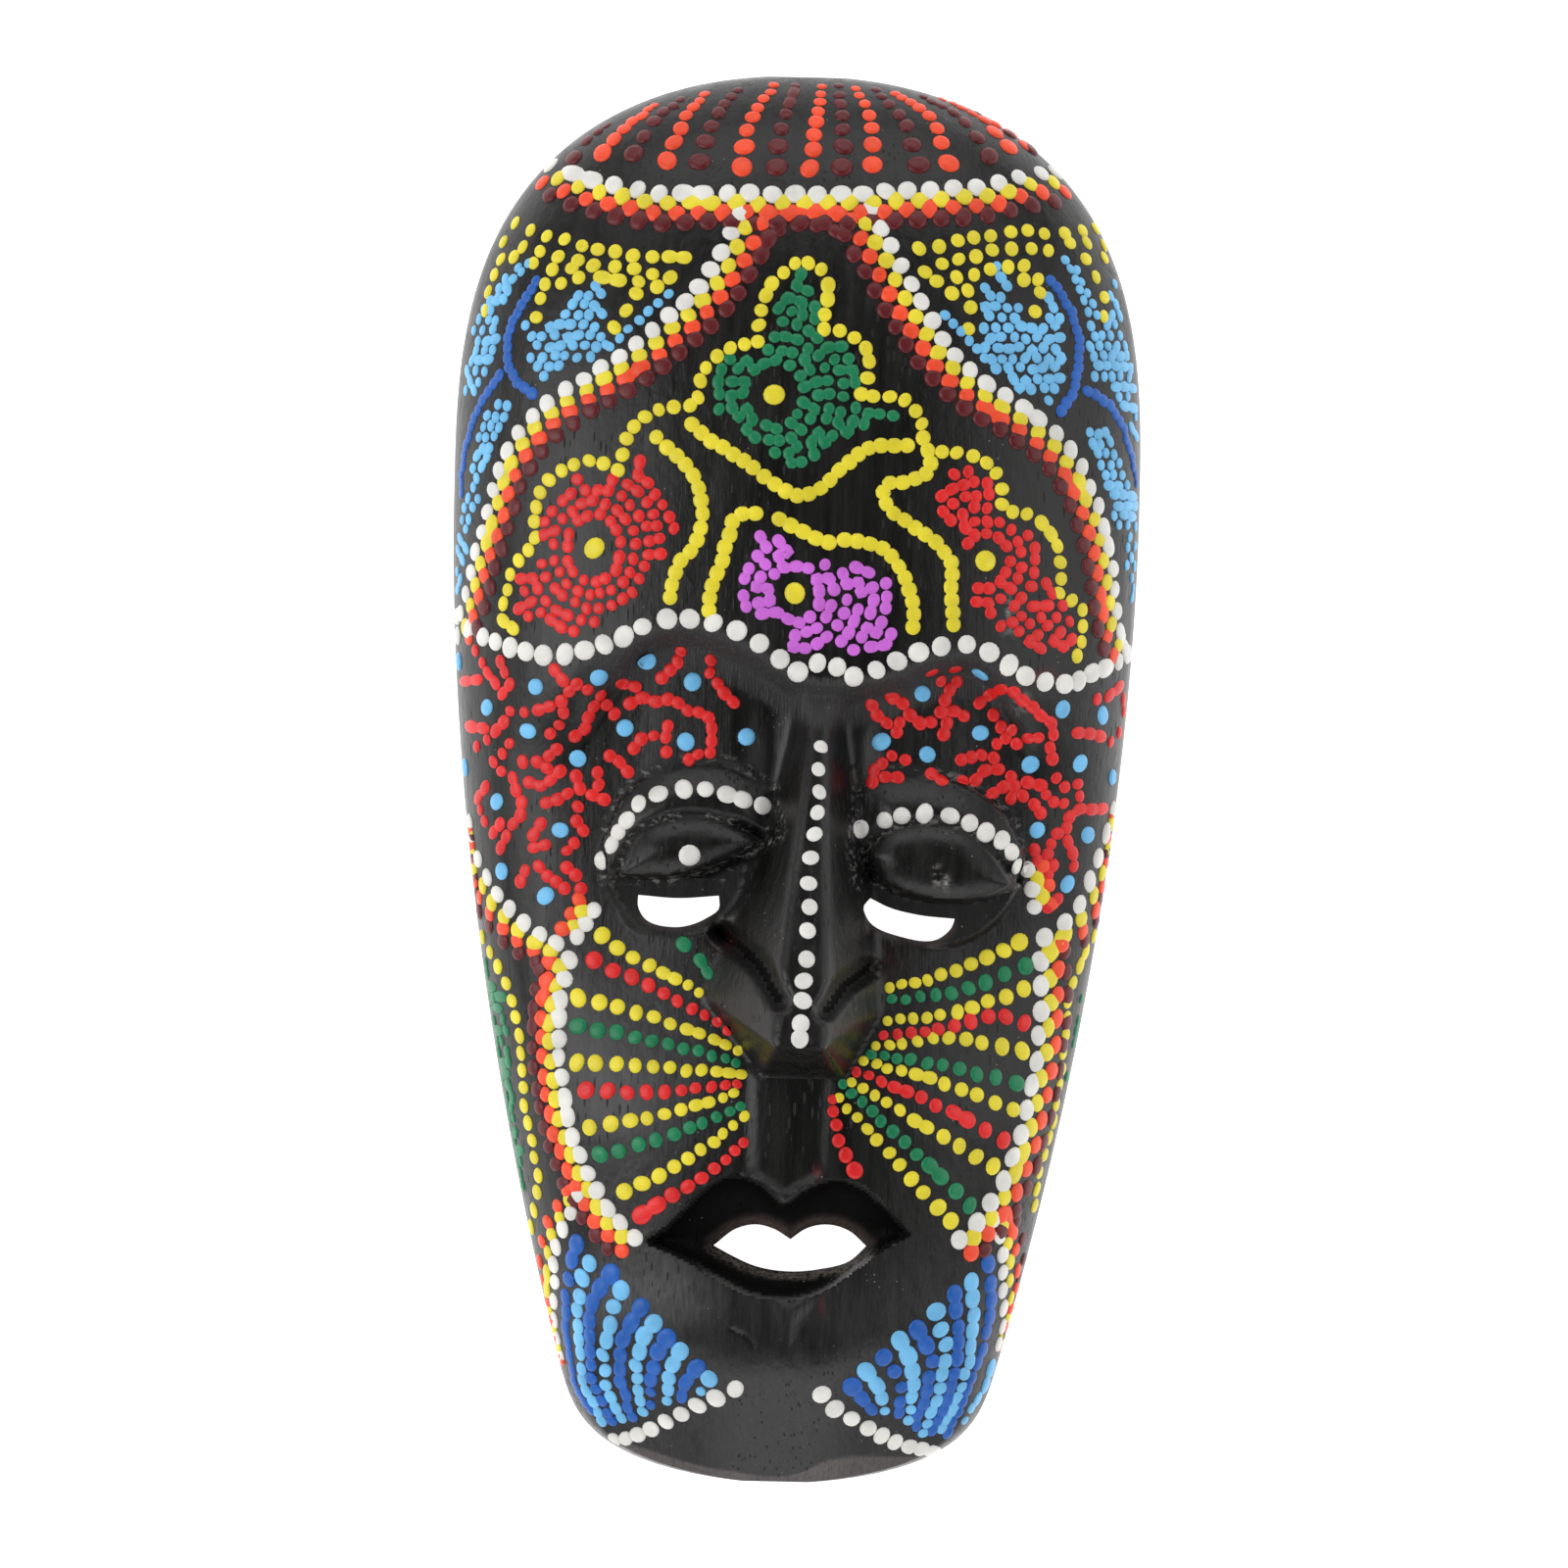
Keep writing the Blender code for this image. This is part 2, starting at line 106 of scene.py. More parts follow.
# Eyes: the arch over each lid, the lid, the hollow under it and the slit through the hollow
LEFT_ARCH = (((-40.4, -14.9), (-34.8, -2.9), (-29.0, 1.9), (-21.4, 3.7), (-13.0, 3.4), (-3.4, -1.6)),
             ((-3.4, -1.6), (-2.6, -13.0), (-8.0, -15.0), (-24.0, -33.0), (-37.0, -27.0), (-40.4, -14.9)))
RIGHT_ARCH = (((14.4, -1.2), (19.0, 1.6), (26.9, 2.4), (32.1, 1.8), (40.5, -1.2), (46.9, -6.8),
               (51.0, -14.5)),
              ((51.0, -14.5), (46.0, -27.0), (32.0, -34.0), (18.0, -28.0), (13.2, -14.0), (14.4, -1.2)))
LEFT_LID = (((-36.9, -22.0), (-31.8, -11.5), (-21.1, -8.0), (-12.0, -9.6), (-4.0, -13.8)),
            ((-4.0, -13.8), (-10.0, -16.6), (-17.1, -19.9), (-24.0, -21.9), (-36.9, -22.0)))
RIGHT_LID = (((15.6, -15.5), (20.0, -10.8), (26.5, -8.6), (37.5, -9.8), (45.1, -16.0), (49.2, -22.0)),
             ((49.2, -22.0), (43.3, -24.8), (35.5, -25.9), (25.6, -24.9), (19.0, -21.8), (15.6, -15.5)))
LEFT_HOLLOW = (((-39.0, -21.0), (-24.0, -18.0), (-7.0, -15.5)),
               ((-7.0, -15.5), (-9.5, -26.0), (-14.0, -31.2), (-23.7, -34.4), (-33.0, -32.8), (-39.0, -21.0)))
RIGHT_HOLLOW = (((14.0, -16.0), (30.0, -19.0), (50.8, -20.6)),
                ((50.8, -20.6), (46.5, -28.0), (38.1, -34.4), (26.6, -35.4), (17.8, -31.0), (14.0, -16.0)))
LEFT_SLIT = (((-31.9, -25.4), (-23.5, -25.9), (-14.7, -25.2)),
             ((-14.7, -25.2), (-14.6, -27.9), (-17.2, -30.0), (-23.9, -32.1), (-30.8, -30.0), (-31.9, -27.8),
              (-31.9, -25.4)))
RIGHT_SLIT = (((17.6, -25.0), (21.4, -26.8), (27.7, -28.3), (35.7, -29.0)),
              ((35.7, -29.0), (35.2, -30.6), (32.6, -33.2), (24.4, -33.1), (17.0, -29.3), (16.2, -26.8),
               (17.6, -25.0)))
ARCH_LEVEL, ARCH_SWELL, ARCH_RUN = 35.6, 3.4, 9.0
LID_LEVEL, LID_SWELL, LID_RUN = 38.0, 3.2, 7.0
HOLLOW_LEVEL = 34.5
EYE_EDGE, LID_EDGE = 1.4, 1.2
LID_CREASE_DEPTH, LID_CREASE_WIDE, LID_CREASE_FROM = 1.1, 1.1, -21.0

# Nose: its line, the level and half width of its ridge, and how steeply its sides fall
NOSE_AT, NOSE_LEAN = 5.3, 0.035
NOSE_RIDGE = ((-57, 60.0), (-45, 57.6), (-25, 52.6), (0, 47.4), (12, 43.8), (20, 41.0), (30, 34.0),
    (60, -40.0))
NOSE_FLAT = ((-57, 5.6), (-30, 4.2), (0, 2.5), (12, 2.4), (24, 6.0))
NOSE_LEFT_FALL = ((-47, 1.32), (-20, 1.8), (0, 2.3), (20, 2.2))
NOSE_RIGHT_FALL = ((-47, 1.86), (-20, 1.9), (0, 2.3), (20, 2.2))
NOSE_BASE_Y, NOSE_BASE_LEVEL, NOSE_UNDERSIDE = -63.2, 41.5, 3.0
WING_LEVEL, LEFT_WING_RISE, RIGHT_WING_RISE = 40.0, 3.4, 3.0
LEFT_WING = ((-16.9, -46.2), (-5.0, -62.7), WING_LEVEL, LEFT_WING_RISE)
RIGHT_WING = ((13.8, -61.2), (19.2, -49.0), WING_LEVEL, RIGHT_WING_RISE)
LEFT_NOSTRIL = ((-14.0, -33.0), (-7.0, -38.4), (-1.4, -47.0))
RIGHT_NOSTRIL = ((17.2, -40.0), (13.0, -43.2), (8.8, -48.8))
NOSTRIL_DEPTH, NOSTRIL_WIDE = 4.4, 3.4
NOSE_HOLLOWS = ((-4.0, 2.0), (14.0, 2.0))
NOSE_HOLLOW = (2.0, 4.5, 15.0)
RIDGE_TURN, WING_TURN, BASE_TURN, NOSE_TURN = 1.5, 1.0, 0.8, 1.6

# Panel between nose and mouth
PHILTRUM = (((-8.3, -61.0), (11.2, -61.0)), ((11.2, -61.0), (10.0, -92.0)), ((10.0, -92.0), (-7.6, -92.0)),
            ((-7.6, -92.0), (-8.3, -61.0)))
PHILTRUM_RISE, PHILTRUM_EDGE = 0.7, 3.0

# Mouth: the bow-shaped hollow and the hole at its bottom
MOUTH = (((-28.7, -99.4), (-23.9, -95.6), (-16.0, -87.2), (-11.2, -84.6), (-6.0, -85.5), (0.7, -90.0)),
         ((0.7, -90.0), (4.6, -87.3), (11.5, -84.8), (16.6, -86.0), (22.6, -90.8), (27.7, -96.5)),
         ((27.7, -96.5), (20.8, -100.4), (14.9, -105.0), (8.2, -109.4), (1.9, -110.9), (-5.4, -110.2),
          (-13.6, -106.5), (-20.0, -102.8), (-28.7, -99.4)))
MOUTH_HOLE = (((-14.2, -99.8), (-9.2, -96.0), (-5.5, -95.1), (-1.3, -96.0), (2.2, -98.1)),
              ((2.2, -98.1), (5.4, -95.8), (9.5, -94.8), (14.6, -96.0), (18.4, -99.2)),
              ((18.4, -99.2), (15.2, -102.3), (8.4, -104.4), (1.7, -105.0), (-5.2, -104.0), (-10.8, -101.6),
               (-14.2, -99.8)))
MOUTH_SINK = 8.2
MOUTH_FUNNEL = 3.0
MOUTH_FUNNEL_FROM = 0.74

# Chin: two side planes, a bevel along the bottom and a shallow wedge under the lip
CHIN_SIDE_LEVEL, CHIN_SIDE_AT, CHIN_SIDE_FALL, CHIN_SIDE_RISE = 34.5, (11.0, -125.0), 0.36, 0.60
CHIN_BEVEL_LEVEL, CHIN_BEVEL_RISE = 21.0, 1.35
CHIN_MIDDLE_TURN, CHIN_SIDE_TURN, CHIN_BEVEL_TURN = 6.0, 2.0, 1.0
LIP_WEDGE = (((-5.0, -109.0), (9.6, -109.0)), ((9.6, -109.0), (2.0, -125.0)), ((2.0, -125.0), (-5.0, -109.0)))
LIP_WEDGE_DEPTH, LIP_WEDGE_EDGE = 0.7, 4.5

# The hollow behind: how square its walls meet its floor
HOLLOW_BEND, HOLLOW_ROUND = 3.0, 0.45

# Fineness of the carved mesh: counts, lengths in steps, and the turn that shows as a sharp edge
FACE_COLUMNS = 204
FINE_ROW, COARSE_ROW = 0.62, 1.15
FINE_FROM, FINE_TO = -135.0, 42.0
CHIN_ROWS, CROWN_ROWS, CROWN_ROWS_HIGH = 26, 44, 26.0
HOLLOW_COLUMNS, HOLLOW_ROWS = 70, 120
SIDE_CROWDING = 0.5
CURVE_STEP = 1.0
LATTICE_STEP, LATTICE_MARGIN = 0.5, 4.0
NOISE_CELLS = 160
SHARP_TURN = math.radians(38)

# How far the cutters reach past the block, in metres
BELOW = 0.004

# Marks of the knife and the gouge, the crack, and the bevel along the chin, in steps
KNIFE_CELL, KNIFE_DEPTH, KNIFE_SEED = (7.0, 12.0), 0.14, 3
WAVE_CELL, WAVE_DEPTH, WAVE_SEED = (22.0, 30.0), 0.18, 4
RELIEF_FADE = (1.0, 0.9)
CRACK = ((-10.1, -117.5), (-7.6, -118.6), (-5.2, -121.0))
CRACK_WIDE, CRACK_DEPTH = 0.6, 0.5
# Edge of the chin's bevel: below it the wood is lighter with wear and carries a painted highlight
BEVEL = ((-36, -141.5), (-29, -143.4), (-21, -145.6), (-11, -147.6), (6, -147.8), (10, -145.8),
    (17, -144.4), (29, -144.2), (36, -143))
BEVEL_CELL, BEVEL_WAVE, BEVEL_SEED = (16.0, 40.0), 0.5, 9
GOUGE_CELL, GOUGE_DEPTH, GOUGE_SEED = (5.0, 9.0), 0.9, 8

# Marks on the wood, in steps, some of them painted shade and light: the pairs say where each one starts and
# where it is full
MARGIN, CHIN_MARGIN = 0.05, 0.01
RAW_DEPTH = (1.2, 4.0)
# Scratches along the arch and lid creases, with painted glints on their edges
GLINT_SCRATCH_WIDE, GLINT_SCRATCH_FROM = 0.75, -24.0
# The brow's underside: scrape marks with a painted grey sheen where the slope catches light
SCRAPE_SHEEN_START, SCRAPE_SHEEN_END, SCRAPE_SHEEN_SIDES = (-1.5, 0.5), (11.0, 6.0), (52.0, 40.0)
# The mouth hole's lower ledge: lighter with wear, and a painted highlight where its edge catches light
LEDGE_OUT, LEDGE_Y, LEDGE_IN = (2.2, 1.2), (-98.5, -101.0), 0.1
MOUTH_BROWN_OUT, MOUTH_BROWN_Y = (3.0, 0.5), (-100.0, -98.0)
SLIT_BROWN, SLIT_BROWN_OUT, SLIT_BROWN_Y = 0.5, (1.6, 0.2), (-29.0, -31.0)
# Painted shade: darker colour in the eye hollows, along the arch and lid creases, in the nostrils and in the
# mouth
SOCKET_SHADE, SOCKET_SHADE_EDGE, SOCKET_SHADE_TOP = 0.65, 2.0, 37.5
CREASE_SHADE, CREASE_SHADE_WIDE = 0.7, 1.1
NOSTRIL_SHADE, NOSTRIL_SHADE_WIDE = 1.2, 2.4
MOUTH_SHADE_IN, LIPS_OUT = (-0.3, 0.5), (-1.0, 0.0)
# Painted sheen: grey over the chin where it catches light
CHIN_SHEEN, CHIN_SHEEN_Y = 0.22, (-93.0, -112.0)
# The bevel along the chin's bottom: lighter with wear, and a painted highlight
BEVEL_EDGE, BEVEL_ABOVE = (0.3, -0.3), 1.0
CRACK_STAIN = 1.5
# Faces whose painted shade is at least this strong get the dull material
UNWAXED_FROM = 0.72

# The photograph: the pixel over the mask's middle, steps to a pixel, and how far it leans
PX_MIDDLE = (806.6, 795.0)
PX_STEP = 0.2092
PX_LEAN = 0.0225

# The shape of a drop: share of its radius and share of its height, from the rim up
DROP_SIDES = 14
DROP_PROFILE = ((1.0, -0.45), (0.99, 0.16), (0.84, 0.66), (0.5, 0.94))
DROP_HEIGHT, DROP_HIGHEST = 0.30, 0.65
DROP_OVAL, DROP_HEIGHTS = 0.11, (0.85, 1.15)
DIMPLE_SHARE, DIMPLE_HEIGHTS = 0.45, (0.6, 0.85)
STRING_PROFILE = ((-1.0, -0.45), (-0.98, 0.2), (-0.78, 0.68), (-0.4, 0.95), (0.0, 1.0), (0.4, 0.95),
    (0.78, 0.68), (0.98, 0.2), (1.0, -0.45))
STRING_CAP = (0.25, 0.5, 0.75, 0.97)
STRING_STEPS = 6
STRING_NECK = 0.62
PAINT_TOP_MARGIN, PAINT_SIDE_MARGIN = 0.4, 0.7

# How a hand lays drops: chances, shares of a size or a spacing, and distances in pixels
CHANCE = random.Random(11)
ROW_SIZES, FILL_SIZES, SQUIGGLE_SIZES = (0.93, 1.07), (0.92, 1.08), (0.9, 1.1)
BAND_STEP, BAND_TAPER, BAND_JOINS = 8.0, 1.5, 0.05
ROW_CLOSE = 0.87
FILL_MARGIN, FILL_LOOSE, FILL_MISSED, FILL_REACH = 0.18, 0.12, 0.02, 1.25
SQUIGGLE_LENGTHS, SQUIGGLE_BENDS, SQUIGGLE_STEPS = (3, 14), 0.95, (0.85, 1.0, 1.0, 1.15)
SQUIGGLE_ROOTS, SQUIGGLE_CLEAR, SQUIGGLE_JOINS = 3, (0.9, 1.2), 0.6
SPOT_CLEAR = 17.0

# Colours of the paint
PAINTS = {
    "paint_white": (0.76, 0.75, 0.71),
    "paint_yellow": (0.78, 0.66, 0.03),
    "paint_orange": (0.87, 0.07, 0.02),
    "paint_maroon": (0.105, 0.005, 0.008),
    "paint_red": (0.70, 0.015, 0.015),
    "paint_green": (0.005, 0.19, 0.075),
    "paint_light_blue": (0.16, 0.49, 0.81),
    "paint_blue": (0.010, 0.105, 0.44),
    "paint_violet": (0.60, 0.14, 0.68),
}
WHITE, YELLOW, ORANGE, MAROON, RED, GREEN, LIGHT_BLUE, BLUE, VIOLET = PAINTS

# Crown: columns of drops that run together towards the top, in pixels of the photograph
CROWN_ORANGE = (((615, 156), (640, 128), (668, 108)), ((681, 164), (699, 121), (718, 96)),
                ((758, 171), (766, 124), (790, 87)), ((827, 172), (832, 134), (838, 88)),
                ((891, 168), (888, 121), (873, 91)), ((967, 167), (949, 119), (914, 95)),
                ((1029, 150), (1004, 122), (966, 102)), ((1072, 150), (1050, 131), (1024, 118)))
CROWN_MAROON = (((585, 160), (600, 142), (618, 128)), ((646, 158), (668, 124), (694, 102)),
                ((715, 166), (729, 122), (752, 92)), ((792, 171), (798, 128), (812, 87)),
                ((859, 171), (860, 128), (856, 88)), ((937, 170), (920, 121), (893, 92)),
                ((1010, 160), (982, 121), (942, 99)), ((1051, 152), (1028, 125), (996, 108)))

# Hairline and the two lines that sweep down from it
HAIRLINE = ((562, 168), (590, 180), (626, 190), (670, 198), (712, 198), (759, 199), (812, 199), (870, 199),
    (922, 196), (970, 193), (1011, 190), (1046, 180), (1086, 176))
LEFT_BELL = ((755, 219), (740, 253), (713, 295), (677, 329), (643, 358), (599, 386), (561, 411),
    (534, 438), (512, 474), (499, 516), (487, 560), (474, 610), (466, 648))
RIGHT_BELL = ((889, 214), (908, 250), (929, 291), (950, 328), (977, 367), (1012, 397), (1046, 419),
    (1081, 448), (1109, 490), (1126, 536), (1136, 587), (1142, 640), (1150, 666))
BELL_TOP_ORANGE = ((787, 221), (819, 217), (851, 218))
BELL_TOP_MAROON = ((795, 236), (824, 228), (852, 236))
BROW_DROPS = ((465, 629), (478, 642), (493, 650), (506, 655), (521, 661), (537, 665), (555, 669),
    (577, 668), (597, 664), (617, 658), (637, 650), (656, 640), (681, 632), (704, 632), (728, 636),
    (752, 644), (775, 657), (796, 673), (814, 686), (834, 677), (854, 681), (871, 691), (894, 684),
    (915, 675), (937, 666), (960, 660), (986, 658), (1009, 666), (1029, 679), (1046, 690), (1066, 696),
    (1086, 698), (1100, 695), (1141, 675), (1151, 667))
BROW_PAIR = ((1114, 687), (1127, 682))

# Flowers: a rough outline, the outline's yellow drops and the eye
GREEN_FLOWER = ((818, 275), (834, 288), (836, 317), (831, 342), (861, 348), (878, 364), (882, 382),
    (872, 404), (906, 413), (930, 425), (916, 434), (871, 443), (843, 462), (833, 475), (813, 489),
    (796, 478), (781, 459), (764, 446), (728, 421), (722, 406), (722, 384), (739, 364), (775, 362),
    (782, 349), (783, 326), (793, 304), (803, 284))
GREEN_EYE = (790, 404)
GREEN_EDGE_LEFT = ((812, 270), (800, 278), (790, 288), (781, 303), (776, 318), (773, 335), (771, 352),
    (757, 353), (740, 359), (725, 371), (714, 396), (711, 413), (694, 416), (673, 419), (660, 425),
    (648, 434), (641, 448), (635, 464))
GREEN_EDGE_RIGHT = ((824, 270), (836, 274), (843, 286), (845, 300), (843, 317), (840, 336), (855, 339),
    (871, 345), (884, 359), (887, 376), (883, 392), (879, 406), (896, 406), (914, 407), (931, 416),
    (941, 434))
RED_LEFT = ((654, 459), (673, 495), (687, 518), (694, 534), (691, 550), (674, 577), (664, 591), (660, 610),
    (644, 622), (612, 639), (590, 648), (571, 647), (545, 637), (529, 626), (524, 612), (525, 597),
    (530, 581), (545, 570), (555, 562), (552, 550), (553, 527), (556, 514), (565, 498), (581, 489),
    (603, 485), (625, 485), (641, 479), (644, 466))
RED_LEFT_EYE = (607, 560)
RED_LEFT_EDGE = ((631, 480), (617, 473), (601, 471), (585, 475), (571, 482), (558, 496), (549, 511),
    (546, 527), (546, 543), (546, 556), (535, 567), (524, 580), (518, 600), (515, 616), (516, 638),
    (525, 641))
RED_RIGHT = ((986, 472), (962, 488), (946, 505), (952, 522), (968, 534), (981, 550), (988, 566),
    (989, 588), (991, 613), (997, 630), (1016, 643), (1035, 658), (1055, 669), (1084, 673), (1096, 658),
    (1097, 639), (1095, 616), (1078, 610), (1071, 594), (1069, 572), (1068, 550), (1055, 536), (1030, 532),
    (1018, 524), (1014, 501), (1006, 482))
RED_RIGHT_EYE = (1005, 573)
RED_RIGHT_EDGE = ((961, 462), (985, 464), (1009, 476), (1022, 495), (1023, 520), (1042, 524), (1060, 532),
    (1074, 548), (1081, 567), (1082, 590), (1080, 606), (1102, 619), (1105, 639), (1098, 670))
VIOLET_FLOWER = ((781, 540), (763, 555), (760, 572), (755, 588), (747, 603), (740, 617), (756, 627),
    (775, 637), (796, 646), (803, 663), (832, 666), (845, 662), (864, 669), (890, 669), (907, 660),
    (915, 645), (913, 613), (905, 590), (895, 577), (864, 572), (836, 569), (820, 570), (808, 562),
    (798, 551))
VIOLET_EYE = (811, 606)

# Yellow drops that ran together into strings
YELLOW_STRINGS = (
    ((707, 434), (728, 452), (754, 468), (784, 490), (815, 506), (833, 502), (856, 481), (887, 459),
     (925, 455)),
    ((671, 448), (698, 473), (711, 494), (717, 516), (712, 552), (691, 580), (684, 611)),
    ((772, 524), (751, 529), (744, 547), (733, 585), (724, 608), (724, 624)),
    ((795, 531), (828, 548), (846, 555)),
    ((862, 551), (902, 562), (925, 593), (931, 616), (931, 641)),
    ((942, 447), (947, 482), (925, 492), (902, 497), (902, 514), (922, 531), (945, 547), (969, 575),
     (970, 616), (973, 639)),
)

# Upper sides of the forehead
LEFT_YELLOW = (((525, 227), (571, 245), (625, 257), (659, 262), (701, 265)),
               ((515, 247), (539, 253), (569, 263), (628, 274), (684, 283)),
               ((526, 264), (571, 276), (605, 272)), ((573, 290), (594, 282), (631, 286), (670, 295)),
               ((512, 263), (504, 280), (498, 300), (494, 318)), ((650, 300), (638, 320), (629, 336)),
               ((557, 289), (552, 306), (547, 325)))
RIGHT_YELLOW = (((939, 255), (981, 247), (1015, 240), (1044, 236), (1081, 238), (1122, 234)),
                ((942, 277), (975, 267), (1017, 257), (1051, 255), (1069, 258)),
                ((1092, 249), (1110, 249), (1128, 251)),
                ((957, 289), (988, 281), (1030, 273), (1046, 271)), ((970, 301), (984, 297), (988, 335)),
                ((1107, 266), (1126, 264)), ((1044, 287), (1058, 286), (1056, 320)),
                ((1117, 283), (1125, 300), (1127, 323)))
LEFT_LEAF = ((609, 281), (619, 284), (619, 340), (627, 354), (609, 367), (587, 375), (571, 380),
    (557, 396), (542, 375), (532, 352), (530, 328), (541, 330), (549, 340), (556, 331), (577, 310),
    (597, 294))
RIGHT_LEAF = ((1004, 262), (1015, 262), (1027, 284), (1039, 310), (1050, 326), (1062, 326), (1064, 296),
    (1079, 296), (1087, 325), (1090, 390), (1078, 412), (1066, 412), (1040, 402), (1012, 384), (998, 368),
    (998, 300))
LEFT_LINES = (((682, 301), (652, 328), (622, 355)), ((540, 269), (524, 286), (508, 302)))
RIGHT_LINES = (((964, 322), (984, 344), (1005, 366)), ((1087, 265), (1101, 296), (1110, 318)),
               ((1099, 276), (1109, 300), (1120, 322)))
LEFT_BLUE = (((547, 287), (530, 316), (519, 341), (524, 384), (543, 403)),
             ((509, 384), (491, 412), (480, 438), (472, 474), (470, 504)))
RIGHT_BLUE = (((1072, 287), (1088, 310), (1099, 337), (1100, 370), (1093, 404), (1083, 420)),
              ((1110, 399), (1129, 411), (1143, 430), (1153, 460), (1160, 493)))
LEFT_FIELD = ((541, 264), (530, 290), (514, 312), (508, 340), (507, 372), (492, 392), (478, 420),
    (472, 410), (474, 370), (482, 330), (498, 298), (522, 274))
LEFT_LOW_FIELD = ((500, 412), (520, 404), (526, 418), (508, 450), (498, 482), (487, 522), (477, 565),
    (468, 612), (462, 600), (464, 560), (470, 520), (480, 480), (488, 440))
RIGHT_FIELD = ((1108, 328), (1124, 334), (1131, 322), (1131, 280), (1141, 290), (1152, 340), (1162, 400),
    (1168, 476), (1158, 470), (1150, 430), (1136, 400), (1110, 386))
RIGHT_LOW_FIELD = ((1098, 432), (1130, 436), (1150, 480), (1164, 520), (1163, 600), (1154, 650),
    (1150, 600), (1138, 540), (1122, 486))

# Temples and cheeks beside the eyes
LEFT_SPOTS = ((468, 675), (547, 701), (612, 692), (660, 674), (707, 696), (497, 722), (539, 746),
    (638, 743), (590, 774), (700, 757), (762, 752), (474, 783), (507, 818), (572, 847), (512, 889),
    (557, 914))
RIGHT_SPOTS = ((1000, 688), (941, 708), (1084, 724), (1125, 730), (899, 757), (1000, 748), (946, 770),
    (1051, 780), (1102, 779), (1135, 793), (1058, 847), (1110, 852), (1089, 902))
LEFT_TEMPLE = ((468, 655), (520, 676), (580, 684), (650, 664), (700, 656), (752, 690), (748, 740),
    (722, 778), (670, 782), (626, 812), (602, 862), (594, 912), (566, 944), (538, 932), (506, 880),
    (484, 826), (472, 740))
RIGHT_TEMPLE = ((878, 724), (930, 694), (980, 674), (1020, 698), (1070, 716), (1120, 704), (1150, 690),
    (1148, 760), (1130, 830), (1104, 900), (1078, 932), (1056, 920), (1048, 868), (1026, 824), (980, 798),
    (930, 796), (884, 812))

# White rows round the eyes and down the nose
LEFT_LID_DROPS = ((615, 878), (623, 862), (631, 849), (640, 837), (652, 820), (672, 810), (698, 805),
    (720, 805), (778, 822))
LEFT_LID_PAIR = ((741, 810), (759, 816))
RIGHT_LID_DROPS = ((878, 846), (902, 837), (920, 833), (943, 831), (969, 833), (989, 840), (1006, 849),
    (1022, 857), (1032, 869), (1038, 884))
NOSE_DROPS = ((838, 762), (835, 785), (836, 808), (834, 829), (831, 851), (827, 875), (825, 901),
    (826, 925), (824, 949), (823, 978), (820, 1000), (819, 1020))
NOSE_PAIR = ((817, 1043), (816, 1059))
LEFT_PUPIL = (704, 873)

# Bands down the sides of the cheeks, white nearest the face
LEFT_CHEEK = ((474, 838), (482, 862), (495, 890), (507, 912), (521, 931), (547, 952), (566, 961),
    (580, 977), (577, 998), (572, 1019), (570, 1059), (573, 1104), (582, 1151), (599, 1194), (610, 1215),
    (620, 1233), (633, 1248), (647, 1262))
RIGHT_CHEEK = ((1135, 826), (1122, 871), (1109, 908), (1088, 942), (1068, 953), (1062, 976), (1063, 1002),
    (1060, 1060), (1051, 1116), (1040, 1160), (1031, 1186), (1021, 1209), (1009, 1230), (994, 1249),
    (978, 1265))
LEFT_JAW = ((591, 1220), (580, 1240), (572, 1256), (567, 1272), (566, 1313), (567, 1359), (571, 1384))
RIGHT_JAW = ((1014, 1243), (1021, 1265), (1024, 1286), (1024, 1305), (1023, 1347), (1020, 1372))
LEFT_CORNER = ((607, 928), (598, 942), (590, 956))
RIGHT_CORNER = ((1047, 888), (1052, 906), (1056, 926))
LEFT_OUTER = ((491, 956), (508, 985), (518, 1010), (529, 1046), (533, 1086), (535, 1126), (546, 1180),
    (549, 1212), (541, 1252))
RIGHT_OUTER = ((1117, 955), (1102, 984), (1094, 1004), (1087, 1060), (1082, 1104), (1073, 1150),
    (1060, 1200), (1055, 1230))
LEFT_OUTER_FIELD = ((489, 972), (508, 1000), (522, 1036), (524, 1098), (528, 1146), (536, 1190),
    (534, 1240), (526, 1210), (515, 1160), (504, 1100), (495, 1050), (489, 1000))
RIGHT_OUTER_FIELD = ((1113, 984), (1101, 1010), (1093, 1060), (1088, 1104), (1079, 1150), (1067, 1200),
    (1060, 1236), (1068, 1215), (1079, 1170), (1094, 1100), (1105, 1050), (1113, 1000))

# Cheek fans: rows that narrow towards the nose
LEFT_FAN = (
    (YELLOW, ((614, 955), (660, 983), (714, 1012))), (GREEN, ((697, 964), (714, 977), (723, 993))),
    (RED, ((607, 980), (676, 1012), (743, 1050))), (YELLOW, ((591, 1017), (676, 1040), (754, 1071))),
    (GREEN, ((591, 1046), (672, 1062), (752, 1083))), (YELLOW, ((588, 1084), (676, 1089), (757, 1095))),
    (RED, ((599, 1112), (676, 1114), (753, 1104))), (YELLOW, ((603, 1150), (676, 1136), (750, 1115))),
    (GREEN, ((612, 1178), (684, 1158), (757, 1128))), (YELLOW, ((638, 1214), (700, 1184), (759, 1139))),
    (RED, ((655, 1240), (690, 1216), (728, 1192), (760, 1166))),
)
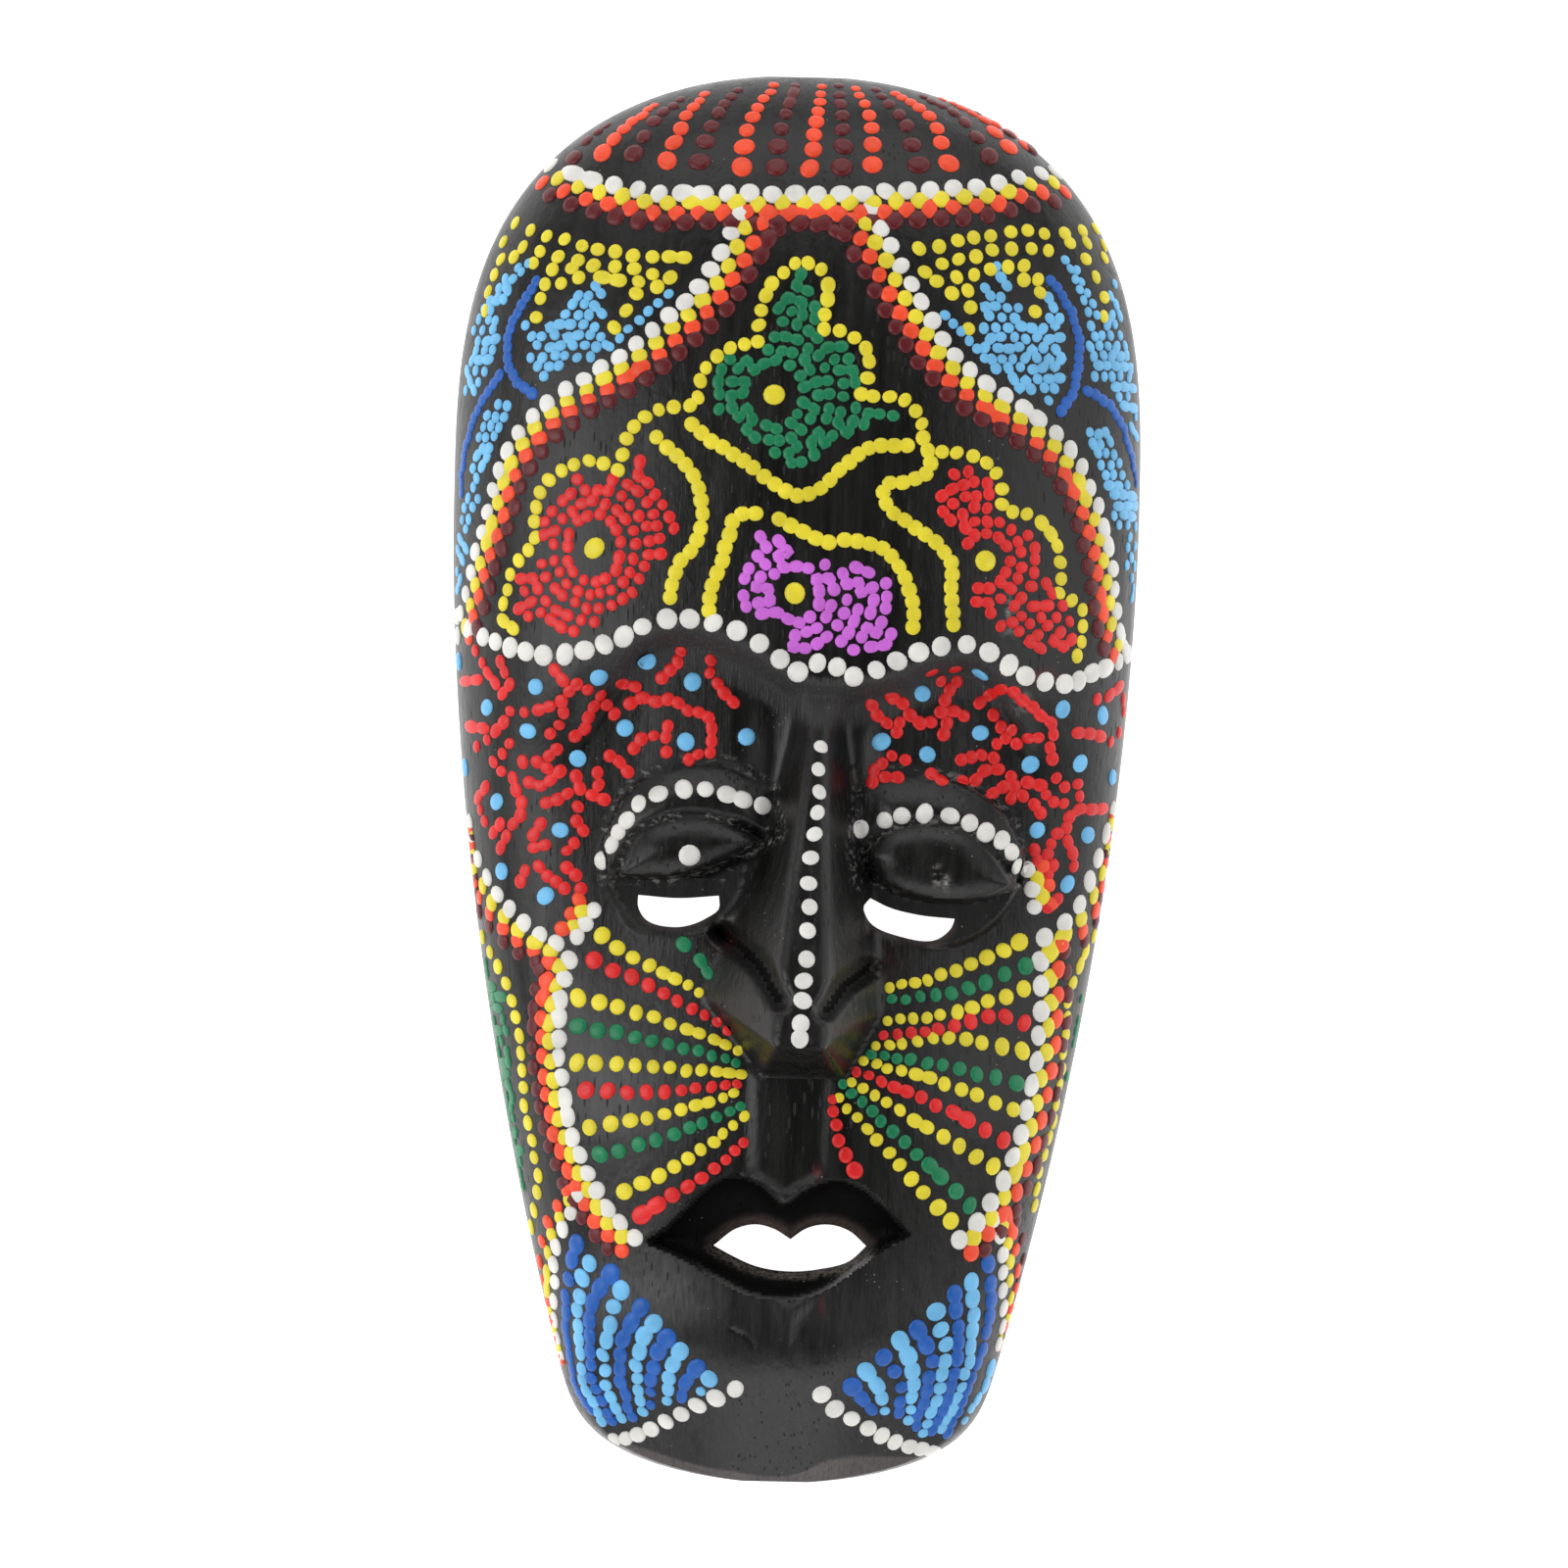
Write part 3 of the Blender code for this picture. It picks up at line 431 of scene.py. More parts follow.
RIGHT_FAN = (
    (YELLOW, ((1041, 961), (976, 990), (908, 1008))), (GREEN, ((1045, 986), (980, 1010), (910, 1020))),
    (YELLOW, ((1044, 1009), (978, 1032), (906, 1041))),
    (RED, ((1046, 1043), (1015, 1036), (960, 1050), (902, 1055))),
    (YELLOW, ((1042, 1073), (983, 1060), (894, 1066))), (GREEN, ((1037, 1105), (962, 1086), (888, 1075))),
    (YELLOW, ((1033, 1131), (956, 1102), (881, 1083))), (RED, ((1023, 1162), (950, 1124), (874, 1092))),
    (YELLOW, ((1014, 1190), (940, 1146), (869, 1104))), (GREEN, ((989, 1229), (922, 1164), (860, 1106))),
    (YELLOW, ((971, 1246), (900, 1168), (856, 1120))), (RED, ((871, 1194), (856, 1160), (849, 1122))),
)

# Chin: short curved rays on each side, over a row of white
LEFT_RAYS = (
    (BLUE, ((587, 1268), (577, 1326), (580, 1379), (588, 1415), (602, 1441))),
    (LIGHT_BLUE, ((601, 1288), (593, 1310), (590, 1363), (595, 1408), (614, 1450))),
    (BLUE, ((623, 1299), (609, 1318), (602, 1360), (608, 1418), (625, 1450))),
    (LIGHT_BLUE, ((634, 1315), (626, 1338), (617, 1378), (620, 1416), (634, 1447))),
    (BLUE, ((653, 1333), (638, 1361), (633, 1400), (645, 1447))),
    (LIGHT_BLUE, ((666, 1349), (655, 1369), (649, 1400), (656, 1440))),
    (BLUE, ((681, 1364), (667, 1390), (665, 1432))),
    (LIGHT_BLUE, ((694, 1378), (682, 1402), (680, 1428))),
    (BLUE, ((710, 1394), (699, 1410), (696, 1424))),
    (LIGHT_BLUE, ((722, 1407), (714, 1420))),
)
RIGHT_RAYS = (
    (BLUE, ((870, 1413), (882, 1428), (889, 1440))),
    (LIGHT_BLUE, ((885, 1398), (899, 1420), (903, 1440))),
    (BLUE, ((901, 1384), (917, 1407), (916, 1442))),
    (LIGHT_BLUE, ((917, 1367), (931, 1395), (931, 1420), (926, 1448))),
    (BLUE, ((936, 1356), (950, 1384), (943, 1424), (934, 1455))),
    (LIGHT_BLUE, ((955, 1337), (964, 1371), (957, 1421), (942, 1462))),
    (BLUE, ((973, 1319), (978, 1346), (973, 1405), (952, 1460))),
    (LIGHT_BLUE, ((991, 1307), (994, 1348), (985, 1404), (962, 1458))),
    (BLUE, ((1007, 1290), (1011, 1321), (1001, 1382), (983, 1428), (966, 1462))),
    (LIGHT_BLUE, ((1010, 1397), (1000, 1423), (984, 1448))),
)
LEFT_CHIN_WHITE = ((751, 1417), (729, 1427), (712, 1434), (693, 1443), (675, 1453), (650, 1464),
    (627, 1470))
RIGHT_CHIN_WHITE = ((838, 1421), (851, 1437), (869, 1447), (888, 1458), (910, 1470), (939, 1479),
    (952, 1481))

# Places of painted sheen on slopes of cheek and chin that catch light, and smears of paint on the wood: place
# and reach in pixels, and how strong
PAINTED_SHEEN_PLACES = (((650, 1080), (75, 75), 0.55), ((655, 1325), (95, 45), 1.0), ((1000, 1330), (80, 35), 0.35))
MAROON_SMEARS = (((834, 1195), (5, 8), 0.9), ((838, 1332), (3, 10), 0.6), ((742, 962), (12, 16), 0.12),
                 ((905, 985), (14, 20), 0.12), ((1060, 690), (16, 7), 0.8), ((900, 705), (16, 6), 0.05))
GREEN_SMEARS = (((730, 1000), (8, 12), 0.14), ((892, 1010), (8, 12), 0.14))
PALE_SMEARS = (((956, 894), (3, 9), 1.0), ((965, 901), (3, 8), 1.0), ((1042, 716), (7, 11), 0.7),
               ((1030, 628), (7, 18), 0.6))

# Bands: line, gap between its rows at the start and at the end, spacing, and the size of each row's drops
BAND_COLOURS = (WHITE, YELLOW, ORANGE, MAROON)
FOREHEAD_BANDS = ((HAIRLINE, -9.8, -9.8, 23.5, (20.0, 18.5, 18.5, 20.0)),
                  (LEFT_BELL, 12.2, 6.6, 21.5, (18.5, 17.5, 17.5, 19.0)),
                  (RIGHT_BELL, -12.2, -6.6, 21.5, (18.5, 17.5, 17.5, 19.0)))
CHEEK_BANDS = ((LEFT_CHEEK, -8.7, -8.7, 20.0, (19.5, 18.0, 17.5, 17.0)),
               (RIGHT_CHEEK, 8.7, 8.7, 25.5, (22.0, 20.0, 19.5, 19.0)),
               (LEFT_JAW, -7.0, -7.0, 19.0, (18.0, 16.0, 16.0)),
               (RIGHT_JAW, 7.0, 7.0, 19.0, (18.0, 16.0, 16.0, 16.0)),
               (LEFT_CORNER, -9.0, -9.0, 18.0, (18.0, 16.0, 16.0)),
               (RIGHT_CORNER, 9.0, 9.0, 18.0, (18.0, 16.0, 16.0)))

# Rows: colour, line, spacing, first and last size, share that join, how loose, and how far they close up
CROWN_COLUMNS = ((ORANGE, CROWN_ORANGE, 13.0), (MAROON, CROWN_MAROON, 14.5))
CROWN_LINES = tuple((colour, points, spacing, (21.5, 11.0), 0.05, 1.0, 0.34)
                    for colour, columns, spacing in CROWN_COLUMNS for points in columns)
BELL_LINES = ((ORANGE, BELL_TOP_ORANGE, 17.0, (17.0,), 0.0, 1.0, None),
              (MAROON, BELL_TOP_MAROON, 19.0, (17.0,), 0.0, 1.0, None))
FLOWER_EDGES = tuple((YELLOW, points, 15.8, (14.5,), 0.15, 1.0, None)
                     for points in (GREEN_EDGE_LEFT, GREEN_EDGE_RIGHT, RED_LEFT_EDGE, RED_RIGHT_EDGE))
FLOWER_STRINGS = tuple((YELLOW, points, 13.0, (15.6,), 0.9, 1.0, None) for points in YELLOW_STRINGS)
SIDE_YELLOW = tuple((YELLOW, points, 18.5, (14.8,), 0.04, 1.8, None) for points in LEFT_YELLOW + RIGHT_YELLOW)
SIDE_LIGHT = tuple((LIGHT_BLUE, points, 12.5, (10.5,), 0.1, 1.0, None) for points in LEFT_LINES + RIGHT_LINES)
SIDE_DARK = tuple((BLUE, points, 9.5, (12.5,), 0.93, 1.0, None) for points in LEFT_BLUE + RIGHT_BLUE)
OUTER_LINES = tuple((YELLOW, points, 18.0, (16.0,), 0.05, 1.0, None) for points in (LEFT_OUTER, RIGHT_OUTER))
FAN_LINES = tuple((colour, points, 16.6, (18.5, 11.0), 0.07, 1.3, None)
                  for colour, points in LEFT_FAN + RIGHT_FAN)
RAY_JOINS = {BLUE: 0.6, LIGHT_BLUE: 0.3}
RAY_LINES = tuple((colour, points, 14.5, (20.0, 11.5), RAY_JOINS[colour], 1.6, None)
                  for colour, points in LEFT_RAYS + RIGHT_RAYS)
CHIN_LINES = tuple((WHITE, points, 17.0, (20.5, 16.5), 0.12, 1.0, 0.5)
                   for points in (LEFT_CHIN_WHITE, RIGHT_CHIN_WHITE))

# Painted shapes: colour, outline, spacing, size and share that join, then a flower's eye and its reach
FLOWERS = ((GREEN, GREEN_FLOWER, 13.2, 12.6, 0.68, GREEN_EYE, (31.0, 34.0)),
           (RED, RED_LEFT, 13.4, 12.6, 0.4, RED_LEFT_EYE, (28.0, 34.0)),
           (RED, RED_RIGHT, 13.2, 12.6, 0.55, RED_RIGHT_EYE, (25.0, 28.0)),
           (VIOLET, VIOLET_FLOWER, 13.4, 12.8, 0.7, VIOLET_EYE, (26.0, 29.0)))
LEAVES = tuple((LIGHT_BLUE, outline, 12.0, 11.2, 0.5) for outline in (LEFT_LEAF, RIGHT_LEAF))
FIELDS = tuple((LIGHT_BLUE, outline, 12.0, 11.4, 0.35)
               for outline in (LEFT_FIELD, LEFT_LOW_FIELD, RIGHT_FIELD, RIGHT_LOW_FIELD))
OUTER_FIELDS = tuple((GREEN, outline, 13.0, 12.5, 0.4) for outline in (LEFT_OUTER_FIELD, RIGHT_OUTER_FIELD))
FIELD_CLOSE, OUTER_CLOSE = 0.72, 0.6
TEMPLE_TRIES, TEMPLE_SPACING, TEMPLE_SIZE = 650, 12.6, 13.2

# Single drops: sizes, in pixels
BROW_SIZES, SPOT_SIZES, LID_SIZES = (18.5, 22.5), (17.0, 19.5), (17.5, 20.5)
BROW_PAIR_SIZE, LID_PAIR_SIZE, NOSE_PAIR_SIZE = 20.0, 19.0, 18.5
NOSE_SIZE, NOSE_GROWTH = 14.5, 0.4
FLOWER_EYE_SIZE, PUPIL_SIZE = 22.0, 23.0

# Patterns in the wood, per metre: stretch along each axis, detail and roughness
WOOD_PATTERNS = {
    "grain": ((1500.0, 90.0, 1500.0), 5.0, 0.65),
    "streak": ((420.0, 22.0, 420.0), 3.0, 0.5),
    "cloud": ((60.0, 45.0, 60.0), 3.0, 0.5),
    "scratch": ((2600.0, 160.0, 900.0), 2.0, 0.5),
    "chips": ((900.0, 900.0, 900.0), 4.0, 0.7),
    "nicks": ((420.0, 700.0, 700.0), 3.0, 0.6),
    "dust": ((90.0, 90.0, 90.0), 4.0, 0.6),
    "lumps": ((420.0, 300.0, 420.0), 2.0, 0.5),
}
PORE_CELLS, PORE_RANGE, PORE_CLOUD = (900.0, 150.0, 900.0), (0.24, 0.15), (0.42, 0.56)
SPECK_CELLS, SPECK_RANGE, SPECK_DUST = (520.0, 520.0, 520.0), (0.11, 0.06), (0.55, 0.62)
MID_RANGE = (0.35, 0.7)
BARE_RANGE = (0.3, 0.7)

# Colours of the wood, dark and light where there are two
STAIN = (0.0038, 0.0035, 0.0032, 1), (0.0085, 0.0080, 0.0076, 1)
# Painted sheen: the greys of slopes that catch light, dark and light
PAINTED_SHEEN = (0.036, 0.035, 0.037, 1), (0.082, 0.080, 0.085, 1)
BARE = (0.050, 0.026, 0.014, 1), (0.15, 0.088, 0.050, 1)
PORE, SPECK, CRACKED = (0.002, 0.0018, 0.0016, 1), (0.30, 0.29, 0.28, 1), (0.003, 0.003, 0.003, 1)
# The painted sheen as a layer over the stain, broken up by the cloud pattern
PAINTED_SHEEN_LAYER = ("rubbed", "cloud", (0.35, 0.55, 0.45, 1.0))
PORE_SHARE, SPECK_SHARE = 0.85, 0.6

# Layers over the stain: the mark, the pattern that breaks it up, that pattern's range and the colour
# Painted sheen with scrape marks under the brow, painted highlight and wear on the bevel, painted shade,
# painted glints along scratches in the creases, and bare brown
LOWER_LAYERS = (("scraped", "scratch", (0.4, 0.72, 0.35, 0.9), (0.062, 0.061, 0.062, 1)),
                ("bevelled", "grain", (0.3, 0.6, 0.5, 1.0), (0.085, 0.074, 0.069, 1)),
                ("deep", None, None, (0.0022, 0.0020, 0.0019, 1)),
                ("scratched", "nicks", (0.53, 0.60, 0.0, 0.75), (0.17, 0.165, 0.16, 1)),
                ("brown", "grain", (0.3, 0.7, 0.35, 1.0), (0.085, 0.062, 0.054, 1)))
# Wear on the mouth ledge with its painted highlight, then smears of paint
UPPER_LAYERS = (("worn", "chips", (0.4, 0.6, 0.0, 0.8), (0.13, 0.115, 0.095, 1)),
                ("maroon", "nicks", (0.38, 0.56), (0.10, 0.012, 0.014, 1)),
                ("green", "nicks", (0.38, 0.56), (0.01, 0.07, 0.03, 1)),
                ("pale", "nicks", (0.44, 0.62), (0.34, 0.33, 0.31, 1)))
WOOD_ROUGH = (0.3, 0.7, 0.27, 0.40)
MORE_ROUGH = (("raw", 0.28), ("deep", 0.26), ("scraped", 0.30))
PORE_ROUGH = 0.3
SCRAPE_BUMP, SCRATCH_BUMP = (0.5, 0.72), (0.53, 0.60)
GRAIN_RELIEF, LUMP_RELIEF = (0.00012, 0.5), (0.0004, 0.35)
PORE_RELIEF, SCRAPE_RELIEF = (0.00008, 0.6), (0.0003, 0.9)
WAXED_GLOSS, UNWAXED_GLOSS = 0.36, 0.06

# The paint's own pattern
PAINT_STRETCH = (1000.0, 1000.0, 1000.0)
PAINT_BROAD, PAINT_FINE = (0.16, 2.0, 0.5), (1.3, 4.0, 0.6)
PAINT_DARKER, PAINT_LIGHTER, PAINT_LIFT, PAINT_PIT = 0.84, 1.08, 0.004, 0.6
PAINT_PITS, PAINT_ROUGH = (0.66, 0.78, 0.0, 0.35), (0.3, 0.7, 0.30, 0.46)
PAINT_RELIEF, PAINT_GLOSS = (0.00012, 0.35), 0.36

# Floor, lights and camera, in metres and watts, with the lens and its sensor in millimetres
FLOOR_REACH, FLOOR_Z, FLOOR_COLOUR = 3.0, -0.0003, (0.8, 0.8, 0.8, 1)
LIGHTS = (("light_left", (-1.35, 0.0, 1.35), (1.3, 1.8), 21.0),
          ("light_right", (1.6, 0.2, 1.1), (1.6, 2.2), 13.0),
          ("light_foot", (0.0, -1.8, 1.0), (2.2, 1.2), 13.0),
          ("light_head", (0.0, 1.8, 1.0), (2.2, 1.2), 13.0))
TENT_FOOT, TENT_SIDES, TENT_TOP = (0.30, 0.30, 0.30, 1), (1.0, 1.0, 1.0, 1), (0.04, 0.04, 0.04, 1)
TENT_SIDES_UP, TENT_TOP_UP, TENT_STRENGTH = (0.10, 0.50), (0.60, 0.90), 0.54
CAMERA_LENS, CAMERA_SENSOR, CAMERA_CLIP = 900.0, 36.0, 20.0
CAMERA_HIGH = 8.387
CAMERA_ROLL = math.radians(1.29)
CAMERA_PX = (800.0, 800.0)


def ease(t):
    """0 below 0 and 1 above 1, with a smooth turn between."""
    t = np.clip(t, 0.0, 1.0)
    return t * t * (3.0 - 2.0 * t)


def between(value, start, end):
    """Rises from 0 at the start to 1 at the end, which may be on either side."""
    return ease((value - start) / (end - start))


def soft_min(a, b, width):
    """The lower of two surfaces, with their crossing rounded over the width."""
    share = np.clip(0.5 + 0.5 * (b - a) / width, 0.0, 1.0)
    return b + (a - b) * share - width * share * (1.0 - share)


def soft_max(a, b, width):
    return -soft_min(-a, -b, width)


def graph(points, x):
    """The value at x of a smooth line through points, level beyond its ends."""
    xs, ys = np.array(points, float).T
    slopes = np.gradient(ys, xs)
    i = np.clip(np.searchsorted(xs, x) - 1, 0, len(xs) - 2)
    span = xs[i + 1] - xs[i]
    t = np.clip((x - xs[i]) / span, 0.0, 1.0)
    start = ys[i] * (1 + 2 * t) * (1 - t) ** 2 + slopes[i] * span * t * (1 - t) ** 2
    return start + ys[i + 1] * t * t * (3 - 2 * t) - slopes[i + 1] * span * t * t * (1 - t)


def stroke(points, spacing=CURVE_STEP):
    """A smooth open line through points, as points about a spacing apart."""
    points = np.array(points, float)
    along = np.concatenate([[0.0], np.cumsum(np.hypot(*np.diff(points, axis=0).T))])
    count = max(2, int(round(along[-1] / spacing)) + 1)
    at = np.linspace(0.0, along[-1], count)
    return np.stack([graph(list(zip(along, points[:, k])), at) for k in range(2)], axis=1)


def ring(strokes):
    """A closed outline from strokes that meet in corners."""
    return np.concatenate([stroke(points)[:-1] for points in strokes])


def distance(x, y, line, is_closed=False):
    """Distance of every place to the line."""
    ends = np.roll(line, -1, axis=0) if is_closed else line[1:]
    nearest = np.full(x.shape, np.inf)
    for (ax, ay), (bx, by) in zip(line, ends):
        length = (bx - ax) ** 2 + (by - ay) ** 2
        t = np.clip(((x - ax) * (bx - ax) + (y - ay) * (by - ay)) / length, 0.0, 1.0)
        nearest = np.minimum(nearest, np.hypot(x - ax - t * (bx - ax), y - ay - t * (by - ay)))
    return nearest


def within(x, y, outline):
    """How far each place is inside the outline, less than 0 outside."""
    is_in = np.zeros(x.shape, bool)
    for (ax, ay), (bx, by) in zip(outline, np.roll(outline, -1, axis=0)):
        if ay != by:
            is_in ^= ((ay > y) != (by > y)) & (x < ax + (bx - ax) * (y - ay) / (by - ay))
    near = distance(x, y, outline, True)
    return np.where(is_in, near, -near)


def inset(x, y, strokes):
    return within(x, y, ring(strokes))


def half_width(y):
    """Half the head's width at height y."""
    up = np.clip((y - TEMPLE_Y) / (STEPS_HIGH / 2 + CROWN_OVER - TEMPLE_Y), 0.0, 1.0)
    down = np.clip(TEMPLE_Y - y, 0.0, None)
    chin = np.clip((CHIN_Y - y) / CHIN_ROUND, 0.0, 1.0)
    sides = STEPS_WIDE / 2 - JAW_IN * (down / JAW_REACH) ** JAW_BEND
    return sides * (1 - up ** CROWN_HIGH) ** (1 / CROWN_WIDE) * np.sqrt(1 - chin ** CHIN_BLUNT)


def crest(y, edge):
    """Level of the smooth form along its middle."""
    up = np.clip((y - FACE_Y) / CROWN_REACH, 0.0, 1.0)
    down = np.clip(FACE_Y - y, 0.0, None)
    crown = edge + (FACE_LEVEL - edge) * np.sqrt(1 - up ** CROWN_BEND)
    return crown - CHIN_DROP * (down / CHIN_REACH) ** CHIN_BEND


def smooth_form(x, y, edge):
    """The head before its features are cut: a long dome that stands on a straight edge."""
    across = np.clip(np.abs(x) / half_width(y), 0.0, 1.0)
    return edge + (crest(y, edge) - edge) * np.sqrt(1 - across ** CROSS_BEND)


def cut_sockets(z, x, y):
    """Everything below the brow line sinks, most around the eyes."""
    middle, steep_to, soft_from = BROW_STEEP
    softness = between(np.abs(x - middle), steep_to, soft_from)
    underside = BROW_UNDERSIDE + (TEMPLE_UNDERSIDE - BROW_UNDERSIDE) * softness
    below = ease((graph(BROW, x) - BROW_EDGE - y) / underside)
    sides = between(x, *SOCKET_LEFT) * between(x, *SOCKET_RIGHT)
    z = z - SOCKET_SINK * below * sides * between(y, *SOCKET_END)
    depth, wide, high = NOSE_HOLLOW
    for at_x, at_y in NOSE_HOLLOWS:
        z = z - depth * np.exp(-(((x - at_x) / wide) ** 2) - ((y - at_y) / high) ** 2)
    return z


def carve_eye(z, x, y, arch, lid, hollow):
    """The arched fold, the swelling lid in it, and the sunken crescent under the lid."""
    d = inset(x, y, arch)
    z = z + ease(d / EYE_EDGE) * (ARCH_LEVEL + ARCH_SWELL * ease(d / ARCH_RUN) - z)
    d = inset(x, y, hollow)
    z = z + ease(d / EYE_EDGE) * (HOLLOW_LEVEL - z)
    d = inset(x, y, lid)
    z = z - LID_CREASE_DEPTH * np.exp(-((d / LID_CREASE_WIDE) ** 2)) * (y > LID_CREASE_FROM)
    swell = 1 - (1 - np.clip(d / LID_RUN, 0.0, 1.0)) ** 2
    return z + ease(d / LID_EDGE) * (LID_LEVEL + LID_SWELL * swell - z)


def facet(x, y, wing):
    """A plane that rises away from the line between two points, on its left side."""
    (ax, ay), (bx, by), level, rise = wing
    length = np.hypot(bx - ax, by - ay)
    return level + rise * ((bx - ax) * (y - ay) - (by - ay) * (x - ax)) / length


def add_nose(z, x, y):
    """A ridge with a flat top and steep sides, cut off by a facet at each wing and by its underside."""
    side = x - NOSE_AT - NOSE_LEAN * y
    fall = np.where(side < 0, graph(NOSE_LEFT_FALL, y), graph(NOSE_RIGHT_FALL, y))
    nose = graph(NOSE_RIDGE, y) - fall * soft_max(np.abs(side) - graph(NOSE_FLAT, y), 0.0 * x, RIDGE_TURN)
    for wing in (LEFT_WING, RIGHT_WING):
        nose = soft_min(nose, facet(x, y, wing), WING_TURN)
    nose = soft_min(nose, NOSE_BASE_LEVEL + NOSE_UNDERSIDE * (y - NOSE_BASE_Y), BASE_TURN)
    z = soft_max(z, nose, NOSE_TURN)
    for line in (LEFT_NOSTRIL, RIGHT_NOSTRIL):
        d = distance(x, y, stroke(line))
        z = z - NOSTRIL_DEPTH * ease(1 - d / NOSTRIL_WIDE)
    return z


def cut_mouth(z, x, y):
    """The hollow of the mouth, steep at its edge and deepest round the hole."""
    d = inset(x, y, MOUTH)
    to_hole = -inset(x, y, MOUTH_HOLE)
    t = np.clip(d, 0.0, None) / (np.clip(d, 0.0, None) + np.clip(to_hole, 0.0, None) + 1e-6)
    return z - MOUTH_SINK * np.sqrt(1 - (1 - t) ** 2) - MOUTH_FUNNEL * between(t, MOUTH_FUNNEL_FROM, 1.0)


def shape_chin(z, x, y):
    """Side planes, the bevel along the bottom and the wedge under the lip."""
    at_x, at_y = CHIN_SIDE_AT
    out = soft_max(np.abs(x) - at_x, 0.0 * x, CHIN_MIDDLE_TURN)
    side = CHIN_SIDE_LEVEL - CHIN_SIDE_FALL * out + CHIN_SIDE_RISE * (y - at_y)
    z = soft_min(z, side, CHIN_SIDE_TURN)
    bevel = CHIN_BEVEL_LEVEL + CHIN_BEVEL_RISE * (y + STEPS_HIGH / 2)
    z = soft_min(z, bevel, CHIN_BEVEL_TURN)
    return z - LIP_WEDGE_DEPTH * ease(inset(x, y, LIP_WEDGE) / LIP_WEDGE_EDGE)


def face_level(x, y, edge):
    """Level of the carved front at every place, in steps."""
    z = cut_sockets(smooth_form(x, y, edge), x, y)
    z = carve_eye(z, x, y, LEFT_ARCH, LEFT_LID, LEFT_HOLLOW)
    z = carve_eye(z, x, y, RIGHT_ARCH, RIGHT_LID, RIGHT_HOLLOW)
    above_lip = ease(-inset(x, y, MOUTH) / PHILTRUM_EDGE)
    z = z + PHILTRUM_RISE * ease(inset(x, y, PHILTRUM) / PHILTRUM_EDGE) * above_lip
    z = add_nose(z, x, y)
    z = shape_chin(z, x, y)
    return cut_mouth(z, x, y)


def to_metres(x, y, z):
    """Places in steps as places in metres."""
    return np.stack([x * WIDTH / STEPS_WIDE, y * HEIGHT / STEPS_HIGH, z * DEPTH / STEPS_DEEP], axis=-1)


def to_steps(points):
    """Places in metres as places in steps."""
    return points * (STEPS_WIDE / WIDTH, STEPS_HIGH / HEIGHT, STEPS_DEEP / DEPTH)


def lattice_noise(x, y, cell, seed):
    """Smooth random relief between -1 and 1, with one turn to a cell."""
    spots = np.random.default_rng(seed).uniform(-1.0, 1.0, (NOISE_CELLS, NOISE_CELLS))
    column, row = x / cell[0] + NOISE_CELLS / 2, y / cell[1] + NOISE_CELLS / 2
    i, j = np.floor(column).astype(int), np.floor(row).astype(int)
    s, t = ease(column - i), ease(row - j)
    low = spots[i, j] * (1 - s) + spots[i + 1, j] * s
    high = spots[i, j + 1] * (1 - s) + spots[i + 1, j + 1] * s
    return low * (1 - t) + high * t


def front_level(x, y):
    """The carved front with the marks that the knife left on it."""
    z = face_level(x, y, SIDE_EDGE * STEPS_DEEP / DEPTH)
    plain = between(np.abs(x) / half_width(y), *RELIEF_FADE)
    z = z - plain * KNIFE_DEPTH * (lattice_noise(x, y, KNIFE_CELL, KNIFE_SEED) + 1) / 2
    z = z - plain * WAVE_DEPTH * (lattice_noise(x, y, WAVE_CELL, WAVE_SEED) + 1) / 2
    z = z - CRACK_DEPTH * ease(1 - distance(x, y, stroke(CRACK)) / CRACK_WIDE)
    return np.minimum(z, STEPS_DEEP * CAD_BOX[1].z / DEPTH)


def grid_mesh(name, places, bottom):
    """A closed block whose top is the grid of places and whose sides go straight down to the bottom."""
    rows, columns, _ = places.shape
    count = rows * columns
    at = np.arange(count).reshape(rows, columns)
    edge = np.concatenate([at[0, :-1], at[:-1, -1], at[-1, :0:-1], at[:0:-1, 0]])
    under = places.reshape(-1, 3)[edge].copy()
    under[:, 2] = bottom
    corners = [at[:-1, :-1], at[:-1, 1:], at[1:, 1:], at[1:, :-1]]
    faces = np.stack([corner.ravel() for corner in corners], axis=1).tolist()
    low = count + np.arange(len(edge))
    sides = np.stack([edge, low, np.roll(low, -1), np.roll(edge, -1)], axis=1)
    faces += sides.tolist()
    faces.append(low[::-1].tolist())
    mesh = bpy.data.meshes.new(name)
    mesh.from_pydata(np.concatenate([places.reshape(-1, 3), under]).tolist(), [], faces)
    return tidy_object(name, mesh)


def tidy_object(name, mesh):
    """An object with its faces turned outwards."""
    bm = bmesh.new()
    bm.from_mesh(mesh)
    bm.normal_update()
    bmesh.ops.recalc_face_normals(bm, faces=bm.faces)
    bm.to_mesh(mesh)
    bm.free()
    obj = bpy.data.objects.new(name, mesh)
    bpy.context.scene.collection.objects.link(obj)
    return obj


def prism(name, strokes, bottom, top):
    """A straight-sided cutter over an outline in steps."""
    outline = ring(strokes)
    places = to_metres(outline[:, 0], outline[:, 1], np.zeros(len(outline)))
    low, high = places.copy(), places.copy()
    low[:, 2], high[:, 2] = bottom, top
    count = len(outline)
    faces = [(i, (i + 1) % count, count + (i + 1) % count, count + i) for i in range(count)]
    faces += [tuple(range(count))[::-1], tuple(range(count, 2 * count))]
    mesh = bpy.data.meshes.new(name)
    mesh.from_pydata(np.concatenate([low, high]).tolist(), [], faces)
    return tidy_object(name, mesh)


